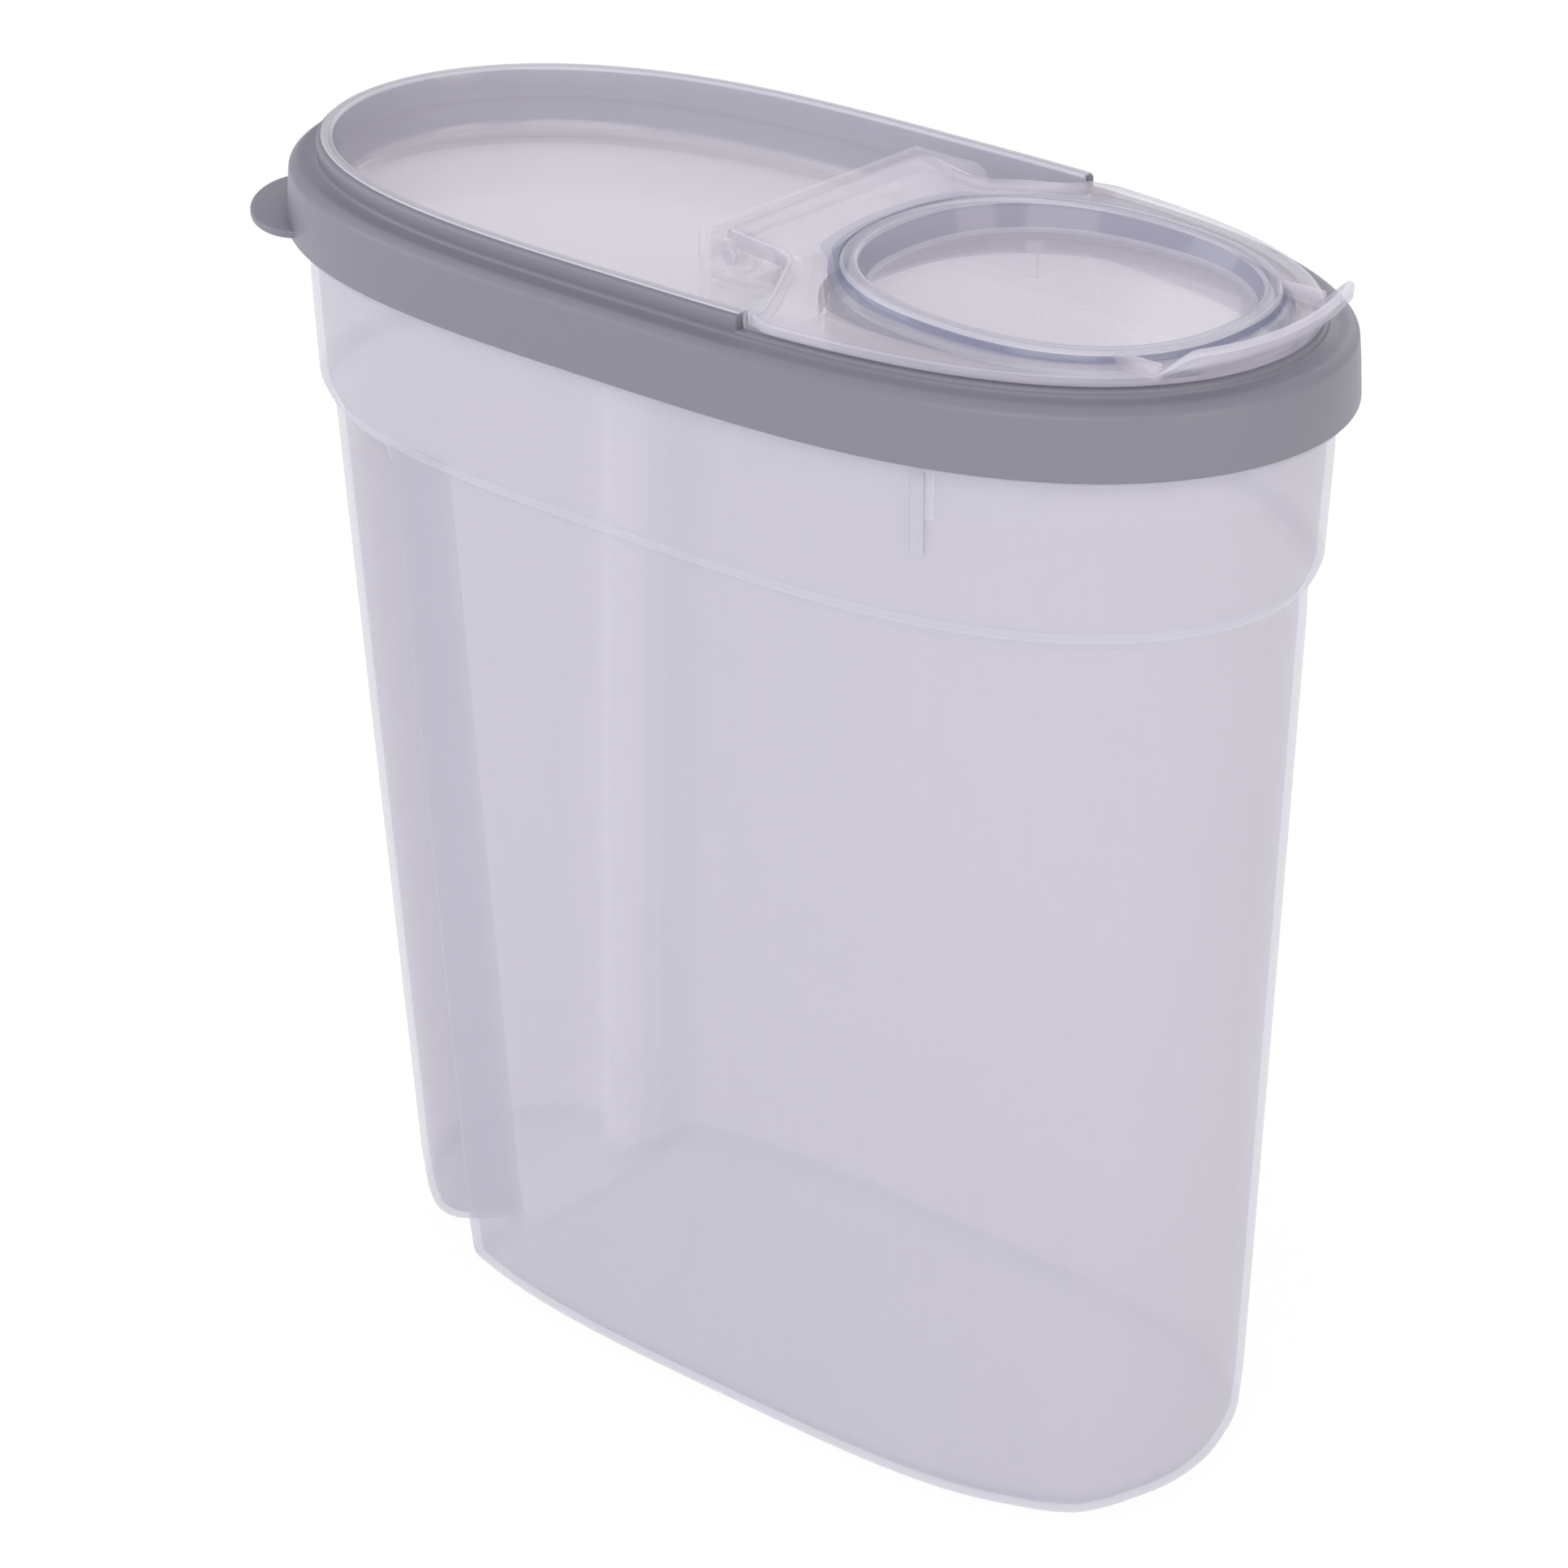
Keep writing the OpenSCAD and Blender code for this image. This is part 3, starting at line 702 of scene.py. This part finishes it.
def lift_tab():
    """Half-oval plate at the foot of the skirt, at one grip corner."""
    corner, steps = outline(TAB_AT), 48
    points = []
    for k in range(steps + 1):
        a = math.radians(-90 + 180 * k / steps)
        along, across = (TAB_REACH + TAB_ROOT) * math.cos(a) - TAB_ROOT, TAB_HALF * math.sin(a)
        points.append((corner.x + (along * math.cos(TAB_TURN) - across * math.sin(TAB_TURN)) * MM,
                       corner.y + (along * math.sin(TAB_TURN) + across * math.cos(TAB_TURN)) * MM))
    plate = prism("tab", points, RIM - TAB_DROP * MM, RIM - (TAB_DROP - TAB_T) * MM, collar_paint)
    core = prism("core", [outline(2 * k, 1.5 * MM) for k in range(180)], RIM - 17 * MM,
                 RIM - 12 * MM, collar_paint)
    return soften(combine(plate, "DIFFERENCE", core, "tab"), 0.5 * MM, 40, 3)


tab = lift_tab()
for part in (collar, bead):
    smooth(part, 50)
collar = join("collar", collar, bead, tab)
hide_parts("collar_ring")
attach(collar, "lid")

# ---------------------------------------------------------------------------
# Lid panel. One clear moulding held under the collar: a lip on the bead, a
# dish behind, a raised platform in front with the pouring hole, and between
# them a low wall with two cheeks that carry the cap's pins.

LID_FLAT = (0.93, 0.88, 0.93)
# Colour of standing walls seen through their depth: darker and bluer, partly painted shade.
LID_DEPTH_AND_SHADE = (0.54, 0.53, 0.61)
panel_paint = clear_plastic("clear_polypropylene", LID_FLAT, LID_DEPTH_AND_SHADE,
                            body=0.40, wall_body=0.74, rough=0.14)
PANEL_T = 1.3
DISH = 12.2                        # drop of the dish's floor below the rim
PLATFORM = 2.8                     # and of the platform
SHELF_X = 29                       # where the platform widens to the collar
AXIS_X = 8.6                       # of the cap's pins
AXIS_Z = 0.5                       # above the rim
BORE_R = 1.66
HINGE_X = 2.1                      # back face of the hinge wall
HINGE_RISE = 3.9                   # top of the wall, the cheeks and the cap's deck there
CHEEK_X = 18.6                     # spout end of the cheeks
CHEEK_Y = 28.4                     # their outer faces
CHEEK_T = 1.8
CHEEK_R = 4.0
TROUGH_X = 12.9                    # the trough in which the ears swing
TROUGH_DROP = 4.9
OVAL_X = 56.4
OVAL_L = 72.9
OVAL_W = 64.8
OVAL_POWER = 2.3
THROAT_GROW = 1.95                 # pouring hole outside the oval ring


def oval_point(a, grow):
    """Point of the oval ring's outline, grown, in the direction a in radians, in mm."""
    l, w = OVAL_L / 2 + grow, OVAL_W / 2 + grow
    r = ((abs(math.cos(a)) / l) ** OVAL_POWER + (abs(math.sin(a)) / w) ** OVAL_POWER) ** (-1 / OVAL_POWER)
    return OVAL_X + r * math.cos(a), r * math.sin(a)


def oval_outline(grow, count=240):
    """The oval as plan points in metres."""
    return [tuple(v * MM for v in oval_point(2 * math.pi * k / count, grow)) for k in range(count)]


def tray():
    """Lip, wall and dish floor as one skin, with both ends at the middle."""
    low = DISH + PANEL_T
    corners = rounded([(16, low, 0), (8.0, low, 3.0), (8.0, 7.05, 0.2), (4.5, 7.05, 0.2),
                       (4.5, 5.85, 0.2), (8.0, 5.85, 0.4), (8.0, 0.35, 0.2), (6.65, 0.35, 0.1),
                       (6.65, 0.0, 0.15), (8.7, 0.0, 0.7), (9.3, 4.0, 6), (9.6, DISH, 3.2),
                       (17, DISH, 0)], 5)
    points = [(16 * MM, s, RIM - low * MM) for s in (0.0, 0.25, 0.5, 0.75, 0.92)]
    points += [(p.x, 1.0, RIM - p.y) for p in corners]
    points += [(17 * MM, s, RIM - DISH * MM) for s in (0.92, 0.75, 0.5, 0.25, 0.0)]
    made = boat("tray", points, panel_paint)
    face_outwards(made)
    return made


def outline_gap(c):
    """How far a point in mm lies inside the collar's plan, across the lid."""
    share = min(1.0, abs(c.x) * MM / HALF_L)
    return HALF_W / MM * math.sqrt(1 - share ** PLAN_POWER) - abs(c.y)


def platform_outline(shrink):
    """The tongue between the cheeks and the full width in front of it, in metres."""
    shelf, tongue_x, tongue_y = SHELF_X + shrink, HINGE_X + shrink, CHEEK_Y - shrink
    arc = [outline(u, (9.0 + shrink) * MM) / MM for u in range(-73, 74)]
    arc = [p for p in arc if p.x > shelf + 0.3]
    edge_y = arc[-1].y
    points = [(tongue_x, -tongue_y), (shelf, -tongue_y), (shelf, -edge_y)]
    points += [(p.x, p.y) for p in arc]
    points += [(shelf, edge_y), (shelf, tongue_y), (tongue_x, tongue_y)]
    return [(x * MM, y * MM) for x, y in points]


def upright_plate(name, profile, y0, y1, paint):
    """A closed plate across the lid: profile of (x, height above the rim) in mm."""
    count = len(profile)
    verts = [(x * MM, y * MM, RIM + z * MM) for y in (y0, y1) for x, z in profile]
    ends = [tuple(range(count)), tuple(range(count, 2 * count))[::-1]]
    return solid(name, verts, ends + walls(count), paint)


def round_profile(x, z, radius, first, last, steps):
    """Arc of points about (x, z), from angle first to last in degrees."""
    return [(x + radius * math.cos(math.radians(first + (last - first) * k / steps)),
             z + radius * math.sin(math.radians(first + (last - first) * k / steps)))
            for k in range(steps + 1)]


def box(name, low, high, paint):
    """A closed block between two corners, in mm, heights above the rim."""
    return prism(name, [(low[0] * MM, low[1] * MM), (high[0] * MM, low[1] * MM),
                        (high[0] * MM, high[1] * MM), (low[0] * MM, high[1] * MM)],
                 RIM + low[2] * MM, RIM + high[2] * MM, paint)


def lid_panel():
    """The whole panel: the tray opened at the spout, with the platform and the hinge set in."""
    below = RIM - 20 * MM              # well under the lid, for cuts that go right through
    root = -PLATFORM - 0.2             # sunk into the platform's top
    inner_y = CHEEK_Y - CHEEK_T
    pan_y = inner_y + 0.3              # sunk into the cheeks
    wall_x = HINGE_X + PANEL_T
    part = tray()
    part = combine(part, "DIFFERENCE", box("front", (BEAD_STEP / MM, -60, -PLATFORM), (120, 60, 5),
                                           panel_paint))
    hollow = prism("hollow", platform_outline(PANEL_T), below, RIM - 6 * MM, panel_paint)
    part = combine(part, "DIFFERENCE", hollow)
    deck = prism("deck", platform_outline(0), RIM - 13.4 * MM, RIM - PLATFORM * MM, panel_paint)
    inside = prism("inside", platform_outline(PANEL_T), below, RIM - (PLATFORM + PANEL_T) * MM, panel_paint)
    deck = combine(deck, "DIFFERENCE", inside)
    throat = prism("throat", oval_outline(THROAT_GROW + PANEL_T), RIM - 9 * MM,
                   RIM - (PLATFORM + 0.1) * MM, panel_paint)
    deck = combine(deck, "UNION", throat)
    deck = combine(deck, "UNION", box("pan", (HINGE_X + 0.1, -pan_y, -TROUGH_DROP - PANEL_T),
                                      (TROUGH_X + PANEL_T, pan_y, -PLATFORM - 0.1), panel_paint))
    deck = combine(deck, "UNION", box("wall", (HINGE_X, -CHEEK_Y, root), (wall_x, CHEEK_Y, HINGE_RISE),
                                      panel_paint))
    cheek = [(HINGE_X, root), (CHEEK_X, root)]
    cheek += round_profile(CHEEK_X - CHEEK_R, HINGE_RISE - CHEEK_R, CHEEK_R, 0, 90, 10)
    cheek.append((HINGE_X, HINGE_RISE))
    for y in (-CHEEK_Y, inner_y):
        deck = combine(deck, "UNION", upright_plate("cheek", cheek, y, y + CHEEK_T, panel_paint))
    part = combine(part, "UNION", deck)
    part = combine(part, "DIFFERENCE", prism("hole", oval_outline(THROAT_GROW), below, RIM + 9 * MM,
                                             panel_paint))
    part = combine(part, "DIFFERENCE", box("trough", (wall_x, -inner_y, -TROUGH_DROP),
                                           (TROUGH_X, inner_y, 3.0), panel_paint))
    bore = round_profile(AXIS_X, AXIS_Z, BORE_R, 0, 345, 23)
    part = combine(part, "DIFFERENCE", upright_plate("bore", bore, -30, 30, panel_paint), "panel")
    return soften(part, 0.22 * MM, 45)


def oval_gap(c):
    """How far a point in mm lies outside the oval ring's outline."""
    x, y = oval_point(math.atan2(c.y, c.x - OVAL_X), 0)
    return math.hypot(c.x - OVAL_X, c.y) - math.hypot(x - OVAL_X, y)


def panel_depth_and_shade(c):
    """How deep the panel's walls are seen, which sets their painted shade: full round the dish
    and the throat, thin at the hinge and under the platform."""
    beyond = oval_gap(c) - THROAT_GROW
    # The throat's wall under the platform; its outer half is painted darkest, a band of painted shade.
    if abs(beyond - PANEL_T / 2) < 1.2 and c.z < RIM / MM - PLATFORM:
        return 1.95 if beyond > PANEL_T / 2 else 1.0
    if c.x > 1 and outline_gap(c) > 12:
        return -1.0 if c.z < RIM / MM - 4.2 else -0.7
    return 1.0


def drop_slivers(made, size=3e-6):
    """Takes out the faces without area that softening leaves where cuts meet.

    Taking them out can open a gap, so each pass fills the open edges and drops loose ones."""
    work = bmesh.new()
    work.from_mesh(made.data)
    for _ in range(2):
        bmesh.ops.dissolve_degenerate(work, dist=size, edges=work.edges)
        loose = [e for e in work.edges if not e.link_faces]
        bmesh.ops.delete(work, geom=loose, context="EDGES")
        open_edges = [e for e in work.edges if len(e.link_faces) == 1]
        if open_edges:
            bmesh.ops.holes_fill(work, edges=open_edges, sides=0)
    bmesh.ops.recalc_face_normals(work, faces=work.faces)
    work.to_mesh(made.data)
    work.free()


panel = lid_panel()
drop_slivers(panel)
mark_faces(panel, panel_depth_and_shade, lit_from=RIM / MM - PLATFORM - 0.5)
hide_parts("lid_panel")
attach(panel, "lid")

# ---------------------------------------------------------------------------
# Flip cap. One clear moulding: a crowned deck with a turned-down edge, an oval
# ring with a plug below it, a thumb lip at the spout and two ears whose pins
# turn in the cheeks' bores.

CAP_FLAT = (0.81, 0.76, 0.84)
# Colour of the cap's standing walls seen through their depth: darker and bluer, partly painted shade.
RING_DEPTH_AND_SHADE = (0.40, 0.40, 0.515)
cap_paint = clear_plastic("clear_cap", CAP_FLAT, RING_DEPTH_AND_SHADE, body=0.36, wall_body=0.56, rough=0.12)
CAP_T = 1.5
CAP_INSET = 6.4                    # of the cap's edge from the collar's plan
FLARE_X, FLARE_Y = 27.9, 44.6      # where the edge leaves the collar and turns in
EARS_Y = 26                        # half width of the deck at the ears
EDGE_Z = -0.95                     # heights above the rim
EDGE_LOW = -2.5
PLUG = 5.8                         # drops below the rim
RECESS = 2.7
EAR_R = 4.0
EAR_IN, EAR_OUT = 23.9, 25.9       # faces of an ear, from the middle of the lid
PIN_R = 1.6
PIN_IN, PIN_OUT = 24.5, 28.2       # ends of a pin
THUMB_Y = 22.0                     # half width of the thumb lip
THUMB_RISE = 3.5
THUMB_T = 1.8


def through(points, per_span):
    """Smooth curve through given points, with per_span steps between each two."""
    result = []
    last = len(points) - 1
    for i in range(last):
        p0, p1, p2, p3 = (Vector(points[max(0, min(last, j))]) for j in (i - 1, i, i + 1, i + 2))
        for k in range(per_span):
            t = k / per_span
            result.append(0.5 * (2 * p1 + (p2 - p0) * t + (2 * p0 - 5 * p1 + 4 * p2 - p3) * t * t
                                 + (3 * p1 - p0 - 3 * p2 + p3) * t ** 3))
    return result + [Vector(points[-1])]


def cap_outline():
    """Edge of the cap in mm: spout, along the collar, round the flare, in to the hinge."""
    side = [outline(u, CAP_INSET * MM) / MM for u in range(0, 72)]
    side += through([outline(72, CAP_INSET * MM) / MM, (FLARE_X, FLARE_Y), (27.5, 42), (26.4, 39),
                     (25, 35.8), (23.6, 33), (22.3, 30.3), (21, 27.9), (19.5, 26.4), (17.4, 25.6),
                     (14.6, 25.6), (12.4, EARS_Y)], 3)
    side += [Vector(p) for p in ((11, EARS_Y), (9, EARS_Y), (7.4, 25.9), (6.1, 25.3), (5.4, 24.2),
                                 (5.2, 22.6))]
    side += [Vector((5.2, y)) for y in (20, 17.5, 15, 12.5, 10, 7.5, 5, 2.5, 0)]
    return side + [Vector((p.x, -p.y)) for p in side[-2:0:-1]]


CAP_EDGE = cap_outline()
CAP_DIRS = [math.atan2(p.y, p.x - OVAL_X) for p in CAP_EDGE]
COUNT = len(CAP_EDGE)
EDGE_NORMALS = []
for i in range(COUNT):
    along = CAP_EDGE[(i + 1) % COUNT] - CAP_EDGE[i - 1]
    EDGE_NORMALS.append(Vector((-along.y, along.x)).normalized())


def blend(t):
    """Eases from 0 to 1."""
    t = max(0.0, min(1.0, t))
    return t * t * (3 - 2 * t)


def deck_z(x):
    """Height of the deck above the rim: high at the hinge, easing down to the spout."""
    return min(HINGE_RISE, -1.6 + 5.8 * math.exp((6 - x) / 40))


def edge_z(p):
    """Height of the cap's edge: level along the collar, rising to the deck at the ears."""
    if p.x > FLARE_X:
        return EDGE_Z
    t = max(0.0, min(1.0, (FLARE_Y - abs(p.y)) / (FLARE_Y - EARS_Y)))
    return EDGE_Z + (deck_z(p.x) - EDGE_Z) * blend(0.15 + 0.85 * t)


def deck_ring(f, grow, down=0.0):
    """Ring of the deck, f of the way from the oval to the edge."""
    ring = []
    for a, e in zip(CAP_DIRS, CAP_EDGE):
        ox, oy = oval_point(a, grow)
        zo = deck_z(ox)
        ring.append((ox + f * (e.x - ox), oy + f * (e.y - oy),
                     zo + (edge_z(e) - zo) * f ** 1.5 - down))
    return ring


def oval_ring(grow, down):
    """Ring on the oval, down from its sloping top."""
    ring = []
    for a in CAP_DIRS:
        x, y = oval_point(a, grow)
        ring.append((x, y, 2.9 - 0.03 * (x - OVAL_X + OVAL_L / 2) - down))
    return ring


def level_ring(grow, z, scale=1.0):
    """Ring on the oval at one height, drawn in towards the oval's middle by scale."""
    ring = []
    for a in CAP_DIRS:
        x, y = oval_point(a, grow)
        ring.append((OVAL_X + scale * (x - OVAL_X), scale * y, z))
    return ring


def edge_ring(inset, height):
    """Ring inside the cap's edge; height is a function of the edge point's height."""
    return [(e.x + inset * n.x, e.y + inset * n.y, height(edge_z(e)))
            for e, n in zip(CAP_EDGE, EDGE_NORMALS)]


def rim_ring(plain, lip):
    """Ring over the rim. The plain edge rises into the thumb lip round the spout."""
    ring = []
    for e, n in zip(CAP_EDGE, EDGE_NORMALS):
        y = abs(e.y)
        share = min(1.0, y / 19) ** 2      # 0 at the middle of the lip, 1 near its ends
        tail = blend((THUMB_Y + 1 - y) / 4.5) if e.x > OVAL_X else 0.0
        lean = 2 + 2.8 * share
        inset = plain[0] + (lip[0] - lean - plain[0]) * tail
        low = edge_z(e) - plain[1]
        top = THUMB_RISE + share - lip[1]
        ring.append((e.x + inset * n.x, e.y + inset * n.y, low + (top - low) * tail))
    return ring


def flange_bottom(z):
    """Lowest point of the turned-down edge, where the edge is z above the rim."""
    return max(EDGE_LOW, z - 2.7)


def cap_shell():
    """The cap's skin as rings, from the middle below, round the edge, to the middle above.

    Each run of rings says how deep the plastic is seen there, which sets its painted shade,
    and how much painted edge highlight it gets, for the skin that leads up to it."""
    rings, marks = [], []

    def lay(deep, edge, *run):
        rings.extend(run)
        marks.extend([(deep, edge)] * len(run))

    lay(0.0, 0.0, *(level_ring(-2.9, -RECESS - CAP_T, s) for s in (0.25, 0.5, 0.75, 0.92, 1.0)))
    lay(0.3, 0.0, oval_ring(-2.3, CAP_T + 0.6), oval_ring(-2.0, CAP_T + 0.2), oval_ring(-1.5, CAP_T + 0.2))
    lay(0.8, 0.0, level_ring(0.03, -PLUG + 0.3), level_ring(0.3, -PLUG), level_ring(1.15, -PLUG),
        level_ring(1.45, -PLUG + 0.3))
    lay(1.7, 0.0, deck_ring(0, 1.45, CAP_T + 0.5), deck_ring(0.03, 1.6, CAP_T))
    lay(-0.9, 0.0, deck_ring(0.3, 0, CAP_T))
    lay(0.0, 0.0, deck_ring(0.6, 0, CAP_T),
        edge_ring(CAP_T + 0.5, lambda z: max(EDGE_LOW + 0.3, z - CAP_T)))
    lay(0.3, 0.0, edge_ring(CAP_T, lambda z: max(EDGE_LOW + 0.25, z - CAP_T - 0.4)),
        edge_ring(CAP_T, lambda z: flange_bottom(z) + 0.1),
        edge_ring(CAP_T - 0.25, flange_bottom), edge_ring(0.3, flange_bottom),
        edge_ring(0.0, lambda z: flange_bottom(z) + 0.3), edge_ring(0.0, lambda z: z - 0.55))
    lay(0.6, 0.0, rim_ring((0.1, 0.3), (0.3, 2.6)), rim_ring((0.25, 0.1), (0.1, 0.9)))
    lay(0.0, 0.5, rim_ring((0.4, 0.03), (0.25, 0.25)), rim_ring((0.55, 0.0), (0.6, 0.0)),
        rim_ring((0.75, -0.03), (THUMB_T - 0.6, 0.0)), rim_ring((0.95, -0.05), (THUMB_T - 0.15, 0.3)))
    lay(0.4, 0.0, rim_ring((1.1, -0.07), (THUMB_T, 0.9)), rim_ring((1.3, -0.09), (THUMB_T + 0.5, 3.6)))
    lay(0.0, 0.0, *(deck_ring(f, 0) for f in (0.82, 0.66, 0.5)))
    lay(-0.5, 0.0, deck_ring(0.35, 0))
    lay(-0.4, 0.0, deck_ring(0.2, 0))
    lay(0.8, 0.0, deck_ring(0.09, 0))
    lay(1.3, 0.0, deck_ring(0, 0.35))
    lay(1.4, 0.0, deck_ring(0, 0.1, -0.3), oval_ring(-0.05, 0.7))
    lay(0.3, 0.45, oval_ring(-0.25, 0.25), oval_ring(-0.65, 0.0))
    lay(0.3, 0.0, oval_ring(-2.5, 0.0))
    lay(0.3, 0.45, oval_ring(-2.9, 0.2), oval_ring(-3.1, 0.7))
    lay(0.9, 0.0, level_ring(-4.0, -RECESS + 0.7))
    lay(0.3, 0.25, level_ring(-4.3, -RECESS + 0.2), level_ring(-4.8, -RECESS))
    lay(0.0, 0.0, *(level_ring(-4.8, -RECESS, s) for s in (0.92, 0.75, 0.5, 0.25)))
    verts = [(x * MM, y * MM, RIM + z * MM) for ring in rings for x, y, z in ring]
    faces = [(j * COUNT + i, j * COUNT + (i + 1) % COUNT,
              (j + 1) * COUNT + (i + 1) % COUNT, (j + 1) * COUNT + i)
             for j in range(len(rings) - 1) for i in range(COUNT)]
    for start, z in ((0, -RECESS - CAP_T), ((len(rings) - 1) * COUNT, -RECESS)):
        verts.append((OVAL_X * MM, 0, RIM + z * MM))
        faces += [(start + i, start + (i + 1) % COUNT, len(verts) - 1) for i in range(COUNT)]
    mesh = bpy.data.meshes.new("cap_shell")
    mesh.from_pydata(verts, [], faces)
    worn = [mark for mark in marks[1:] for _ in range(COUNT)]
    worn += [(0.0, 0.0)] * (len(faces) - len(worn))
    for part, name in enumerate(("deep", "edge")):
        layer = mesh.attributes.new(name, "FLOAT", "FACE")
        layer.data.foreach_set("value", [mark[part] for mark in worn])
    mesh.materials.append(cap_paint)
    made = bpy.data.objects.new("cap_shell", mesh)
    scene.collection.objects.link(made)
    face_outwards(made)
    smooth(made, 50)
    return made


def hinge_ear(side):
    """Round-bottomed ear under the deck's corner, with its pin."""
    inner, outer = sorted((side * EAR_IN, side * EAR_OUT))
    profile = round_profile(AXIS_X, AXIS_Z, EAR_R, 180, 360, 20) + [(12.6, 2.6), (5.6, 2.6), (4.9, 2.0)]
    ear = soften(upright_plate("ear", profile, inner, outer, cap_paint), 0.3 * MM)
    low, high = sorted((side * PIN_IN, side * PIN_OUT))
    pin = soften(upright_plate("pin", round_profile(AXIS_X, AXIS_Z, PIN_R, 0, 348.75, 31), low, high,
                               cap_paint), 0.35 * MM)
    for part in (ear, pin):
        mark_faces(part, lambda c: -0.9)
    return ear, pin


def thumb_web(side):
    """Web from the oval ring to the end of the thumb lip."""
    foot = outline(23.4, (CAP_INSET + 0.4) * MM) / MM
    root = Vector(oval_point(math.radians(37.5), -0.6))
    along = (foot - root).normalized()
    across = Vector((-along.y, along.x)) * 0.7
    plan = [root - across, foot - across, foot + across, root + across]
    verts = [(p.x * MM, side * p.y * MM, RIM + z * MM)
             for zs in ((-1.2, -2.0, -2.0, -1.2), (0.9, 0.9, 0.9, 0.9)) for p, z in zip(plan, zs)]
    web = solid("web", verts, [(0, 1, 2, 3), (4, 5, 6, 7)] + walls(4), cap_paint)
    return soften(web, 0.25 * MM)


cap = join("cap", cap_shell(), *hinge_ear(-1), *hinge_ear(1), thumb_web(-1), thumb_web(1))
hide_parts("flip_cap")
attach(cap, "cap")
